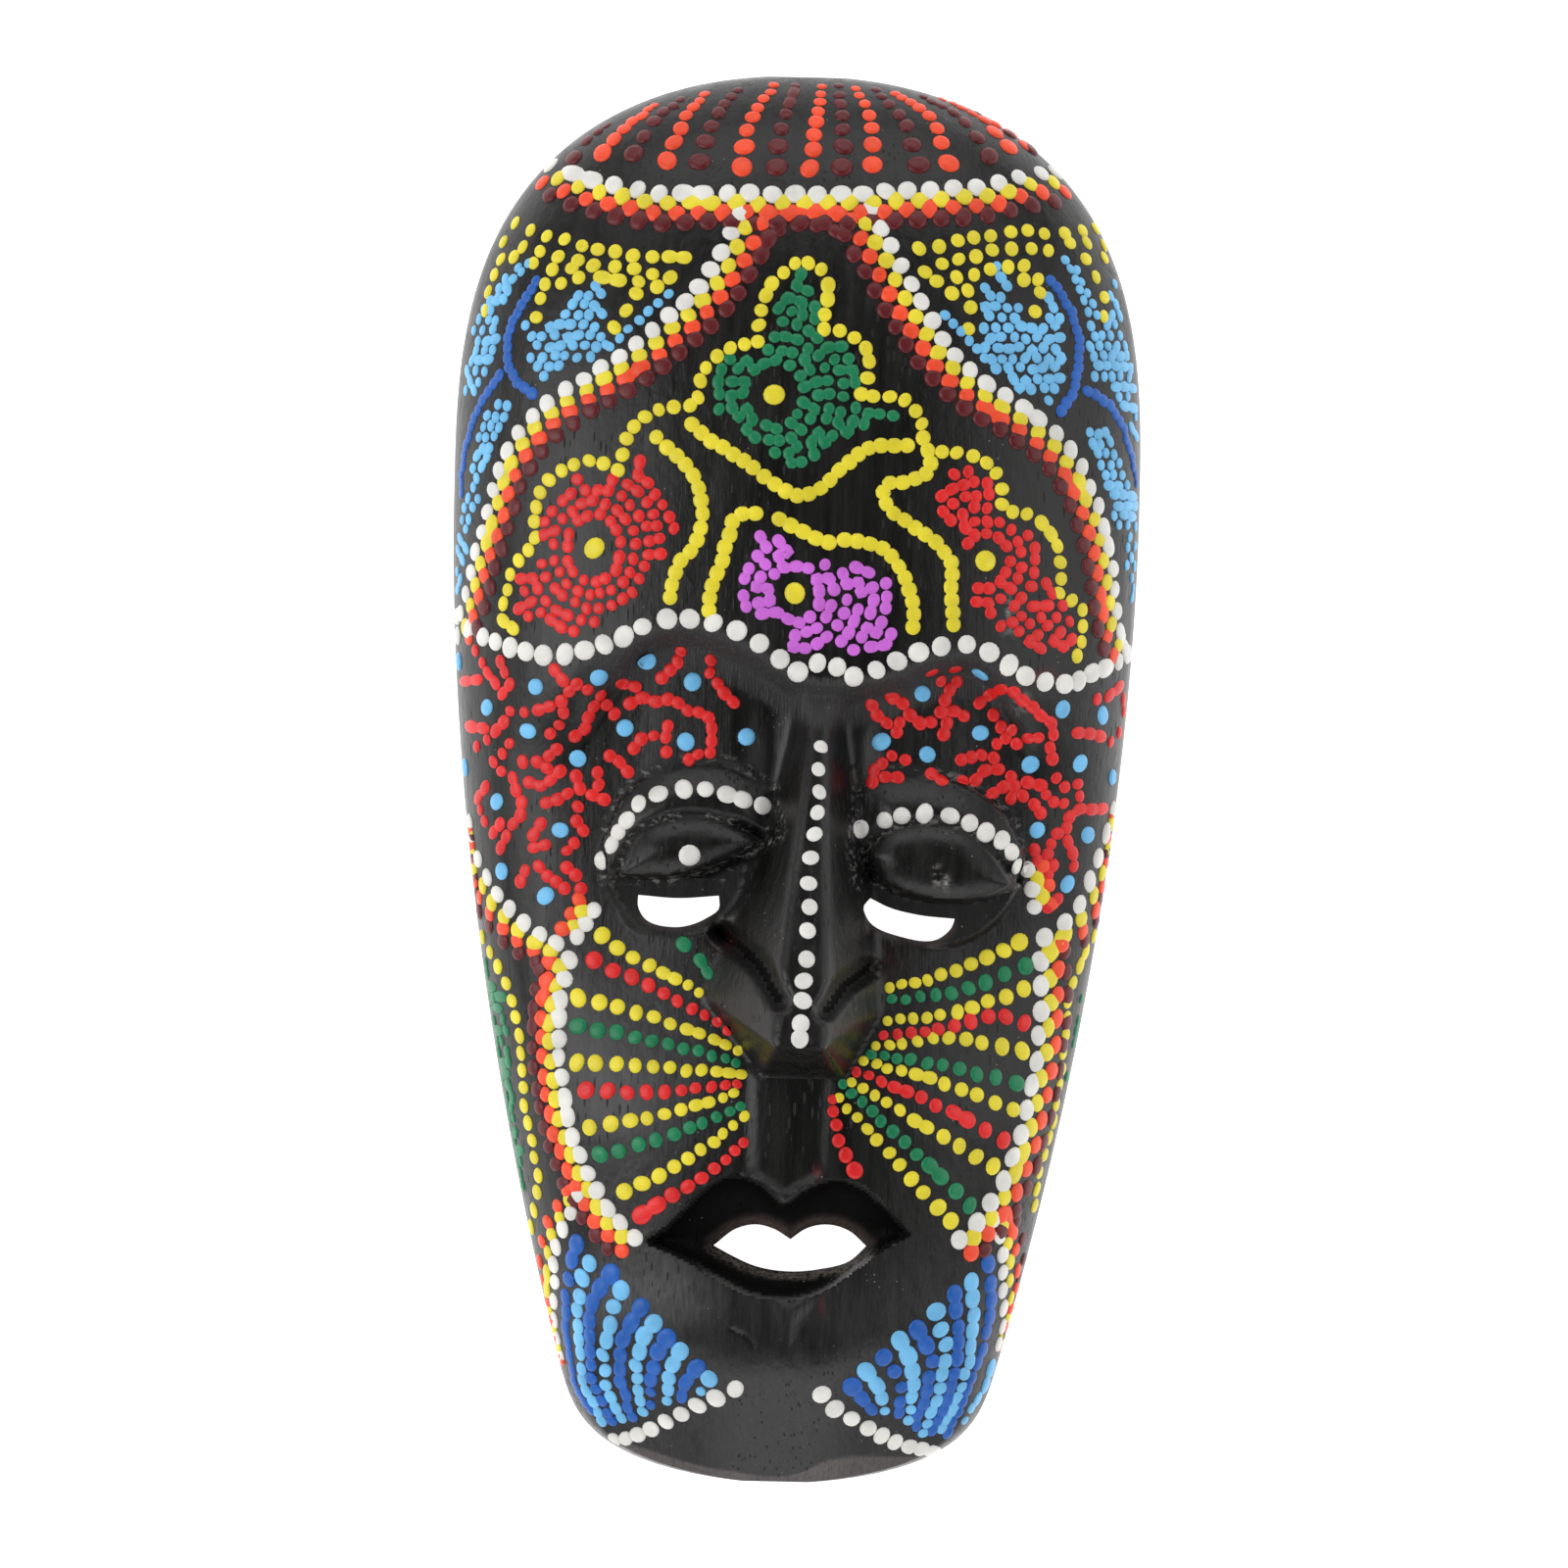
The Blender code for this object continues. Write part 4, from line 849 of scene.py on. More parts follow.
def face_rows():
    """Heights of the rows of the face's grid, closer together over the features and at both ends."""
    foot, top = -STEPS_HIGH / 2, STEPS_HIGH / 2 - CROWN_ROWS_HIGH
    chin = foot + (FINE_FROM - foot) * (1 - np.cos(np.linspace(0, np.pi / 2, CHIN_ROWS)[:-1]))
    face = np.arange(FINE_FROM, FINE_TO, FINE_ROW)
    brow = np.arange(FINE_TO, top, COARSE_ROW)
    crown = top + CROWN_ROWS_HIGH * np.sin(np.linspace(0, np.pi / 2, CROWN_ROWS))
    return np.concatenate([chin, face, brow, crown])


def front_places():
    s = np.linspace(-1, 1, FACE_COLUMNS + 1)
    across = s + SIDE_CROWDING * (np.sin(s * np.pi / 2) - s)
    y = np.repeat(face_rows()[:, None], len(s), axis=1)
    x = across[None, :] * half_width(y)
    return np.clip(to_metres(x, y, front_level(x, y)), np.array(CAD_BOX[0]), np.array(CAD_BOX[1]))


def hollow_places():
    """The hollow behind, as wide as the solid's and reaching as far in, with the scoops of the gouge across
    it.
    """
    s, t = np.meshgrid(np.linspace(-1, 1, HOLLOW_COLUMNS + 1), np.linspace(-1, 1, HOLLOW_ROWS + 1))
    y = np.sin(t * np.pi / 2) * STEPS_HIGH / 2
    x = np.sin(s * np.pi / 2) * half_width(y)
    across = np.clip(np.abs(x) / half_width(y), 0.0, 1.0)
    arch = crest(y, 0.0) / FACE_LEVEL * (1 - across ** HOLLOW_BEND) ** HOLLOW_ROUND
    scoop = arch * GOUGE_DEPTH * np.abs(lattice_noise(x, y, GOUGE_CELL, GOUGE_SEED))
    places = to_metres(x, y, (FACE_LEVEL - CARVING_DEPTH) * arch - scoop)
    places -= WALL * arch[..., None] * np.array((0.0, 0.0, 1.0))
    return places * (1 - 2 * RIM / WIDTH, 1 - 2 * RIM / HEIGHT, 1.0)


def carved_body():
    """The carved front, sawn flat behind, hollowed, and opened at the eyes and the mouth."""
    body = grid_mesh("mask_body", front_places(), 0.0)
    hollow = grid_mesh("hollow", hollow_places(), -2 * BELOW)
    cutters = [hollow]
    for name, strokes in (("left_slit", LEFT_SLIT), ("right_slit", RIGHT_SLIT), ("mouth_hole", MOUTH_HOLE)):
        cutters.append(prism(name, strokes, -BELOW, DEPTH + BELOW))
    for cutter in cutters:
        modifier = body.modifiers.new(cutter.name, "BOOLEAN")
        modifier.operation = "DIFFERENCE"
        modifier.object = cutter
        modifier.solver = "EXACT"
    mesh = bpy.data.meshes.new_from_object(body.evaluated_get(bpy.context.evaluated_depsgraph_get()))
    body.modifiers.clear()
    body.data = mesh
    for cutter in cutters:
        bpy.data.objects.remove(cutter, do_unlink=True)
    mesh.shade_smooth()
    mesh.set_sharp_from_angle(angle=SHARP_TURN)
    return body


def smear(x, y, smears):
    """How strongly paint is smeared on each place."""
    total = np.zeros(x.shape)
    for place, reach, strength in smears:
        (at_x, at_y), = on_mask([place])
        away = ((x - at_x) / (reach[0] * PX_STEP)) ** 2 + ((y - at_y) / (reach[1] * PX_STEP)) ** 2
        total = np.maximum(total, strength * np.exp(-away))
    return total


def mark_wood(body):
    """Says at each point how raw or smeared the wood is, where it has scratches, scrape marks and wear, and
    where it gets painted shade, painted sheen, painted glints and painted highlights.
    """
    mesh = body.data
    points = np.empty(len(mesh.vertices) * 3)
    mesh.vertices.foreach_get("co", points)
    x, y, z = to_steps(points.reshape(-1, 3)).T
    x = np.clip(x, -STEPS_WIDE / 2, STEPS_WIDE / 2)
    y = np.clip(y, -STEPS_HIGH / 2, STEPS_HIGH / 2)
    front = face_level(x, y, SIDE_EDGE * STEPS_DEEP / DEPTH)
    back_y = np.clip(y / (1 - 2 * RIM / HEIGHT), -STEPS_HIGH / 2, STEPS_HIGH / 2)
    is_behind = np.abs(x) < half_width(back_y) * (1 - 2 * RIM / WIDTH) + MARGIN
    is_behind &= np.abs(y) < STEPS_HIGH / 2 * (1 - 2 * RIM / HEIGHT) + MARGIN
    outlines = (LEFT_ARCH, RIGHT_ARCH, LEFT_LID, RIGHT_LID)
    creases = np.min([np.abs(inset(x, y, outline)) for outline in outlines], axis=0)
    under_brow = graph(BROW, x) - BROW_EDGE - y
    fall = between(under_brow, *SCRAPE_SHEEN_START) * between(under_brow, *SCRAPE_SHEEN_END)
    in_mouth, to_hole = inset(x, y, MOUTH), -inset(x, y, MOUTH_HOLE)
    brown = between(to_hole, *MOUTH_BROWN_OUT) * between(y, *MOUTH_BROWN_Y)
    for slit in (LEFT_SLIT, RIGHT_SLIT):
        near = between(-inset(x, y, slit), *SLIT_BROWN_OUT) * between(y, *SLIT_BROWN_Y)
        brown = np.maximum(brown, SLIT_BROWN * near)
    hollows = np.maximum(inset(x, y, LEFT_HOLLOW), inset(x, y, RIGHT_HOLLOW))
    # Painted shade in the eye hollows, the creases, the mouth and the nostrils
    deep = SOCKET_SHADE * ease(hollows / SOCKET_SHADE_EDGE) * (z < SOCKET_SHADE_TOP)
    deep = np.maximum(deep, np.exp(-((creases / CREASE_SHADE_WIDE) ** 2)) * CREASE_SHADE)
    deep = np.maximum(deep, between(in_mouth, *MOUTH_SHADE_IN))
    for nostril in (LEFT_NOSTRIL, RIGHT_NOSTRIL):
        away = distance(x, y, stroke(nostril))
        deep = np.maximum(deep, ease(NOSTRIL_SHADE - away / NOSTRIL_SHADE_WIDE))
    # Painted sheen on the chin and on the slopes of cheek and chin that catch light
    rubbed = np.maximum(CHIN_SHEEN * between(y, *CHIN_SHEEN_Y), smear(x, y, PAINTED_SHEEN_PLACES))
    edge_wave = BEVEL_WAVE * lattice_noise(x, y, BEVEL_CELL, BEVEL_SEED)
    marks = {
        "raw": between(front - z, *RAW_DEPTH) * is_behind,
        # Scratches along the creases, with painted glints
        "scratched": np.exp(-((creases / GLINT_SCRATCH_WIDE) ** 2)) * (y > GLINT_SCRATCH_FROM),
        # Scrape marks under the brow, with a painted grey sheen
        "scraped": fall * between(np.abs(x - BROW_STEEP[0]), *SCRAPE_SHEEN_SIDES),
        # Wear on the mouth hole's ledge, with a painted highlight
        "worn": between(to_hole, *LEDGE_OUT) * between(y, *LEDGE_Y) * (to_hole > LEDGE_IN),
        # Painted sheen
        "rubbed": rubbed * (1 - between(in_mouth, *LIPS_OUT)),
        "brown": brown,
        # Painted shade in hollows and creases
        "deep": deep,
        # Wear on the bevel along the chin, with a painted highlight
        "bevelled": between(y - edge_wave - graph(BEVEL, x), *BEVEL_EDGE) * (z > BEVEL_ABOVE),
        "maroon": smear(x, y, MAROON_SMEARS),
        "green": smear(x, y, GREEN_SMEARS),
        "pale": smear(x, y, PALE_SMEARS),
        "cracked": ease(CRACK_STAIN - distance(x, y, stroke(CRACK)) / CRACK_WIDE),
    }
    for name, values in marks.items():
        mesh.attributes.new(name, "FLOAT", "POINT").data.foreach_set("value", values.astype(np.float32))


# Paint: every drop and string is kept here until all of one colour become one piece
DROPS = {colour: [] for colour in PAINTS}
STRINGS = {colour: [] for colour in PAINTS}


def on_mask(points):
    """Places in the photograph, in pixels, as places on the mask, in steps."""
    right, down = (np.array(points, float) - PX_MIDDLE).T
    return np.stack([right + PX_LEAN * down, PX_LEAN * right - down], axis=1) * PX_STEP


def put(colour, chain):
    """One drop, or a string of drops that ran together. Places and sizes are in pixels."""
    if len(chain) > 1:
        STRINGS[colour].append(chain)
    else:
        DROPS[colour].append(chain[0])


def line(colour, points, spacing, sizes, joins=0.0, shift=0.0, loose=1.0, closing=None):
    """Drops a spacing apart along a smooth line, closer where they get smaller, some run together."""
    path = stroke(points)
    count = max(2, int(round((len(path) - 1) / spacing)) + 1)
    share = np.linspace(0.0, 1.0, count)
    if shift:
        share = share[:-1] + shift / (count - 1)
    start, end = sizes[0], sizes[-1]
    dot_sizes = start * (end / start) ** share
    ratio = closing or end / start
    run = share if ratio == 1.0 else (ratio ** share - 1) / (ratio - 1)
    steps = np.linspace(0.0, 1.0, len(path))
    places = np.stack([np.interp(run, steps, path[:, k]) for k in range(2)], axis=1)
    chain = []
    for (px, py), size in zip(places, dot_sizes):
        px += CHANCE.uniform(-loose, loose)
        py += CHANCE.uniform(-loose, loose)
        chain.append((px, py, size * CHANCE.uniform(*ROW_SIZES)))
        if CHANCE.random() >= joins:
            put(colour, chain)
            chain = []
    if chain:
        put(colour, chain)


def beside(points, gap, last_gap):
    """The smooth line a gap to the left of the one through points, as it is walked on the mask."""
    places = stroke(points, BAND_STEP)
    ahead = np.gradient(places, axis=0)
    ahead /= np.hypot(*ahead.T)[:, None]
    gaps = gap + (last_gap - gap) * np.linspace(0.0, 1.0, len(places))[:, None] ** BAND_TAPER
    return places + gaps * np.stack([ahead[:, 1], -ahead[:, 0]], axis=1)


def band(points, gap, last_gap, spacing, sizes):
    """Rows of drops side by side, each half a spacing on from the last."""
    for i, (colour, size) in enumerate(zip(BAND_COLOURS, sizes)):
        line(colour, beside(points, gap * i, last_gap * i), spacing, (size,), BAND_JOINS, shift=0.5 * (i % 2))


def inside(spot, outline, margin=0.0):
    px, py = spot
    return within(np.array([px]), np.array([py]), outline)[0] > margin


def rows_of(low, high, spacing, squeeze):
    """Places in staggered rows over a rectangle."""
    across = spacing * squeeze
    for row, py in enumerate(np.arange(low[1], high[1], spacing * ROW_CLOSE)):
        for px in np.arange(low[0] + row % 2 * across / 2, high[0], across):
            yield px, py


def rings_of(low, high, spacing, eye, eye_reach):
    """Places in rings round an eye, out to the corners of a rectangle."""
    ring_count = int(math.dist(low, high) / spacing)
    for k in range(ring_count):
        wide, tall = eye_reach[0] + k * spacing, eye_reach[1] + k * spacing
        count = int(round(math.pi * (wide + tall) / spacing))
        start = CHANCE.uniform(0, 2 * math.pi)
        for i in range(count):
            turn = start + i * 2 * math.pi / count
            yield eye[0] + wide * math.cos(turn), eye[1] + tall * math.sin(turn)


def fill(colour, outline, spacing, size, joins, eye=None, eye_reach=None, squeeze=1.0):
    """Drops all over a painted shape, many run together, clear of its eye."""
    outline = np.array(outline, float)
    low, high = outline.min(axis=0), outline.max(axis=0)
    spots = rings_of(low, high, spacing, eye, eye_reach) if eye else rows_of(low, high, spacing, squeeze)
    places = []
    for spot in spots:
        spot = tuple(at + CHANCE.uniform(-FILL_LOOSE, FILL_LOOSE) * spacing for at in spot)
        if inside(spot, outline, size * FILL_MARGIN) and CHANCE.random() > FILL_MISSED:
            places.append(spot)
    CHANCE.shuffle(places)
    while places:
        chain = [places.pop()]
        while places and CHANCE.random() < joins:
            nearest = min(places, key=lambda spot: math.dist(spot, chain[-1]))
            if math.dist(nearest, chain[-1]) > spacing * FILL_REACH:
                break
            places.remove(nearest)
            chain.append(nearest)
        put(colour, [(*spot, size * CHANCE.uniform(*FILL_SIZES)) for spot in chain])


def squiggles(colour, outline, spots, count, spacing, size):
    """Winding, branching chains of small drops that keep clear of the single ones."""
    outline = np.array(outline, float)
    low, high = outline.min(axis=0), outline.max(axis=0)
    taken = []
    for turn in range(count):
        spot = (CHANCE.uniform(low[0], high[0]), CHANCE.uniform(low[1], high[1]))
        way = CHANCE.uniform(0, 2 * math.pi)
        if taken and turn % SQUIGGLE_ROOTS:
            spot = ahead_of(CHANCE.choice(taken), spacing, way)
        chain = []
        for _ in range(CHANCE.randint(*SQUIGGLE_LENGTHS)):
            clear = spacing * SQUIGGLE_CLEAR[bool(chain)]
            if not inside(spot, outline) or any(math.dist(spot, other) < clear for other in taken):
                break
            if any(math.dist(spot, other) < SPOT_CLEAR for other in spots):
                break
            chain.append(spot)
            way += CHANCE.uniform(-SQUIGGLE_BENDS, SQUIGGLE_BENDS)
            spot = ahead_of(spot, spacing * CHANCE.choice(SQUIGGLE_STEPS), way)
        if len(chain) < 2:
            continue
        taken += chain
        together = []
        for px, py in chain:
            together.append((px, py, size * CHANCE.uniform(*SQUIGGLE_SIZES)))
            if CHANCE.random() > SQUIGGLE_JOINS:
                put(colour, together)
                together = []
        if together:
            put(colour, together)


def ahead_of(spot, step, way):
    return spot[0] + step * math.cos(way), spot[1] + step * math.sin(way)


def lines(*tables):
    for colour, points, spacing, sizes, joins, loose, closing in sum(tables, ()):
        line(colour, points, spacing, sizes, joins, loose=loose, closing=closing)


def singles(colour, places, sizes):
    for px, py in places:
        put(colour, [(px, py, CHANCE.uniform(*sizes))])


def pair(places, size):
    """Two white drops that ran together."""
    put(WHITE, [(px, py, size) for px, py in places])


def lay_forehead():
    lines(CROWN_LINES)
    for row in FOREHEAD_BANDS:
        band(*row)
    lines(BELL_LINES)
    singles(WHITE, BROW_DROPS, BROW_SIZES)
    pair(BROW_PAIR, BROW_PAIR_SIZE)


def lay_flowers():
    for colour, outline, spacing, size, joins, eye, eye_reach in FLOWERS:
        fill(colour, outline, spacing, size, joins, eye, eye_reach)
        put(YELLOW, [(*eye, FLOWER_EYE_SIZE)])
    lines(FLOWER_EDGES, FLOWER_STRINGS)


def lay_upper_sides():
    lines(SIDE_YELLOW)
    for leaf in LEAVES:
        fill(*leaf)
    for field in FIELDS:
        fill(*field, squeeze=FIELD_CLOSE)
    lines(SIDE_LIGHT, SIDE_DARK)


def lay_temples():
    for outline, spots in ((LEFT_TEMPLE, LEFT_SPOTS), (RIGHT_TEMPLE, RIGHT_SPOTS)):
        singles(LIGHT_BLUE, spots, SPOT_SIZES)
        squiggles(RED, outline, spots, TEMPLE_TRIES, TEMPLE_SPACING, TEMPLE_SIZE)


def lay_eyes_and_nose():
    singles(WHITE, LEFT_LID_DROPS + RIGHT_LID_DROPS, LID_SIZES)
    pair(LEFT_LID_PAIR, LID_PAIR_SIZE)
    for i, (px, py) in enumerate(NOSE_DROPS):
        put(WHITE, [(px, py, NOSE_SIZE + NOSE_GROWTH * i)])
    pair(NOSE_PAIR, NOSE_PAIR_SIZE)
    put(WHITE, [(*LEFT_PUPIL, PUPIL_SIZE)])


def lay_cheeks_and_chin():
    for row in CHEEK_BANDS:
        band(*row)
    lines(OUTER_LINES)
    for field in OUTER_FIELDS:
        fill(*field, squeeze=OUTER_CLOSE)
    lines(FAN_LINES, RAY_LINES, CHIN_LINES)


def lattice():
    """The carved front sampled once, so that paint can be laid on it fast."""
    half_wide, half_high = STEPS_WIDE / 2 + LATTICE_MARGIN, STEPS_HIGH / 2 + LATTICE_MARGIN
    wide = np.arange(-half_wide, half_wide, LATTICE_STEP)
    high = np.arange(-half_high, half_high, LATTICE_STEP)
    y = np.clip(high, -STEPS_HIGH / 2 + CHIN_MARGIN, STEPS_HIGH / 2)[:, None] + 0.0 * wide[None, :]
    x = np.clip(wide[None, :] + 0.0 * y, -half_width(y) + MARGIN, half_width(y) - MARGIN)
    level = front_level(x, y)
    down_y, down_x = np.gradient(level, LATTICE_STEP)
    return wide[0], high[0], np.stack([level, down_x, down_y], axis=-1)


def look_up(table, places):
    """Level and slopes of the carved front at places in steps."""
    first_x, first_y, values = table
    rows, columns, _ = values.shape
    column = np.clip((places[:, 0] - first_x) / LATTICE_STEP, 0, columns - 2)
    row = np.clip((places[:, 1] - first_y) / LATTICE_STEP, 0, rows - 2)
    i, j = column.astype(int), row.astype(int)
    s, t = (column - i)[:, None], (row - j)[:, None]
    low = values[j, i] * (1 - s) + values[j, i + 1] * s
    high = values[j + 1, i] * (1 - s) + values[j + 1, i + 1] * s
    return low * (1 - t) + high * t


def stand(table, places):
    """Points of the surface over places, and the way out of the wood at each."""
    top = STEPS_HIGH / 2 - PAINT_TOP_MARGIN
    edge = half_width(np.clip(places[:, 1], -top, top)) - PAINT_SIDE_MARGIN
    places = places.copy()
    places[:, 0] = np.clip(places[:, 0], -edge, edge)
    level, down_x, down_y = look_up(table, places).T
    points = np.concatenate([places, level[:, None]], axis=1)
    out = np.stack([-down_x, -down_y, np.ones(len(places))], axis=1)
    return points, out / np.linalg.norm(out, axis=1)[:, None]


def settle(table, points, out, rise):
    """Lays points on the surface, then lifts each by its rise."""
    level = look_up(table, points[:, :2])[:, 0]
    return points + out * ((level - points[:, 2]) * out[:, 2] + rise)[:, None]


def drop_mesh(table, drops):
    """Round domes of paint, a little uneven, some with a dimple where the stick came away."""
    values = np.array(drops, float)
    count = len(values)
    centres, out = stand(table, on_mask(values[:, :2]))
    radius = values[:, 2] * PX_STEP / 2
    right = np.cross((0.0, 1.0, 0.0), out)
    right /= np.linalg.norm(right, axis=1)[:, None]
    up = np.cross(out, right)
    rng = np.random.default_rng(count)
    turn = rng.uniform(0, np.pi, count)
    oval = rng.uniform(0.0, DROP_OVAL, count)
    height = np.minimum(radius * DROP_HEIGHT, DROP_HIGHEST) * rng.uniform(*DROP_HEIGHTS, count)
    dimple = np.where(rng.random(count) < DIMPLE_SHARE, rng.uniform(*DIMPLE_HEIGHTS, count), 1.0)
    angles = np.arange(DROP_SIDES) * 2 * np.pi / DROP_SIDES
    ways = np.cos(angles)[:, None] * right[:, None] + np.sin(angles)[:, None] * up[:, None]
    levels = []
    for share, lift in DROP_PROFILE:
        reach = radius[:, None] * share * (1 + oval[:, None] * np.cos(2 * (angles - turn[:, None])))
        places = (centres[:, None] + reach[..., None] * ways).reshape(-1, 3)
        rises = np.repeat(height * lift, DROP_SIDES)
        level = settle(table, places, np.repeat(out, DROP_SIDES, axis=0), rises)
        levels.append(level.reshape(count, DROP_SIDES, 3))
    levels.append(settle(table, centres, out, height * dimple)[:, None])
    points = np.concatenate(levels, axis=1)
    top = len(DROP_PROFILE) * DROP_SIDES
    pattern = [tuple(range(DROP_SIDES))[::-1]]
    for low in range(0, top, DROP_SIDES):
        for i in range(DROP_SIDES):
            a, b = low + i, low + (i + 1) % DROP_SIDES
            is_last = low + DROP_SIDES == top
            pattern.append((a, b, top) if is_last else (a, b, b + DROP_SIDES, a + DROP_SIDES))
    faces = [tuple(k * (top + 1) + i for i in face) for k in range(count) for face in pattern]
    return points.reshape(-1, 3), faces


def string_mesh(table, chain):
    """A ribbon of paint, wide at each drop and narrower between, round at both ends."""
    values = np.array(chain, float)
    count = (len(values) - 1) * STRING_STEPS + 1
    at = np.linspace(0, len(values) - 1, count)
    path = np.stack([np.interp(at, np.arange(len(values)), values[:, k]) for k in range(3)], axis=1)
    between_drops = 2 * np.abs(at - np.round(at))
    wide = path[:, 2] * PX_STEP / 2 * (STRING_NECK + (1 - STRING_NECK) * np.sqrt(1 - between_drops ** 2))
    centres = on_mask(path[:, :2])
    start_way, end_way = centres[0] - centres[1], centres[-1] - centres[-2]
    start_way, end_way = start_way / np.hypot(*start_way), end_way / np.hypot(*end_way)
    cap = np.sin(np.array(STRING_CAP) * np.pi / 2)
    narrow = np.sqrt(1 - cap ** 2)
    before = centres[0] + start_way * (cap * wide[0])[::-1, None]
    after = centres[-1] + end_way * (cap * wide[-1])[:, None]
    centres = np.concatenate([before, centres, after])
    share = np.concatenate([narrow[::-1], np.ones(count), narrow])
    wide = np.concatenate([np.full(len(cap), wide[0]), wide, np.full(len(cap), wide[-1])])
    points, out = stand(table, centres)
    ahead = np.gradient(points, axis=0)
    side = np.cross(ahead, out)
    side /= np.linalg.norm(side, axis=1)[:, None]
    height = np.minimum(wide * DROP_HEIGHT, DROP_HIGHEST)
    rows = []
    for across, lift in STRING_PROFILE:
        rise = height * (lift if lift < 0 else lift * share)
        rows.append(settle(table, points + side * (across * wide * share)[:, None], out, rise))
    rows = np.stack(rows, axis=1)
    sections, width, _ = rows.shape
    faces = [tuple(range(width)), tuple((sections - 1) * width + i for i in reversed(range(width)))]
    for i in range(sections - 1):
        for j in range(width):
            k = (j + 1) % width
            faces.append((i * width + j, (i + 1) * width + j, (i + 1) * width + k, i * width + k))
    return rows.reshape(-1, 3), faces


def paint_piece(colour, table):
    """All the paint of one colour as one piece."""
    points, faces = drop_mesh(table, DROPS[colour])
    for chain in STRINGS[colour]:
        more_points, more_faces = string_mesh(table, chain)
        faces += [tuple(len(points) + i for i in face) for face in more_faces]
        points = np.concatenate([points, more_points])
    points = to_metres(*points.T)
    points = np.clip(points, np.array(CAD_BOX[0]), np.array(CAD_BOX[1]))
    mesh = bpy.data.meshes.new(colour)
    mesh.from_pydata(points.tolist(), [], faces)
    piece = tidy_object(colour, mesh)
    mesh.shade_smooth()
    return piece


def add_node(tree, kind, inputs=(), **settings):
    """A node with its settings, and values or links on its sockets."""
    node = tree.nodes.new(kind)
    for name, value in settings.items():
        setattr(node, name, value)
    for socket, value in inputs:
        if isinstance(value, bpy.types.NodeSocket):
            tree.links.new(value, node.inputs[socket])
        else:
            node.inputs[socket].default_value = value
    return node


def scaled(tree, scale):
    """Places on the piece, in metres, stretched along each axis."""
    places = add_node(tree, "ShaderNodeTexCoord").outputs["Object"]
    mapping = add_node(tree, "ShaderNodeMapping", (("Vector", places), ("Scale", scale)))
    return mapping.outputs[0]


def noise(tree, places, scale, detail, roughness):
    inputs = (("Vector", places), ("Scale", scale), ("Detail", detail), ("Roughness", roughness))
    return add_node(tree, "ShaderNodeTexNoise", inputs).outputs[0]


def cells(tree, stretch):
    """Distance to the middle of the nearest of many random cells."""
    inputs = (("Vector", scaled(tree, stretch)), ("Scale", 1.0))
    return add_node(tree, "ShaderNodeTexVoronoi", inputs).outputs["Distance"]


def ranged(tree, value, low, high, start=0.0, end=1.0):
    """The value's range from low to high as start to end, no further."""
    inputs = ((0, value), (1, low), (2, high), (3, start), (4, end))
    return add_node(tree, "ShaderNodeMapRange", inputs).outputs[0]


def times(tree, a, b):
    return add_node(tree, "ShaderNodeMath", ((0, a), (1, b)), operation="MULTIPLY").outputs[0]


def plus(tree, a, b):
    return add_node(tree, "ShaderNodeMath", ((0, a), (1, b)), operation="ADD").outputs[0]


def blend(tree, share, a, b):
    """Colour a, or b where the share is 1."""
    return add_node(tree, "ShaderNodeMix", ((0, share), (6, a), (7, b)), data_type="RGBA").outputs[2]


def mark(tree, name):
    return add_node(tree, "ShaderNodeAttribute", attribute_name=name).outputs["Fac"]


def bump(tree, height, distance_m, strength, under=None):
    inputs = [("Strength", strength), ("Distance", distance_m), ("Height", height)]
    if under:
        inputs.append(("Normal", under))
    return add_node(tree, "ShaderNodeBump", inputs).outputs[0]


def new_material(name):
    material = bpy.data.materials.new(name)
    material.use_nodes = True
    return material, material.node_tree, material.node_tree.nodes["Principled BSDF"]


def layered(tree, patterns, colour, layers):
    """The colour with layers over it, each as strong as its mark and its pattern say."""
    for name, pattern, limits, tint in layers:
        share = mark(tree, name)
        if pattern:
            share = times(tree, share, ranged(tree, patterns[pattern], *limits))
        colour = blend(tree, share, colour, tint)
    return colour


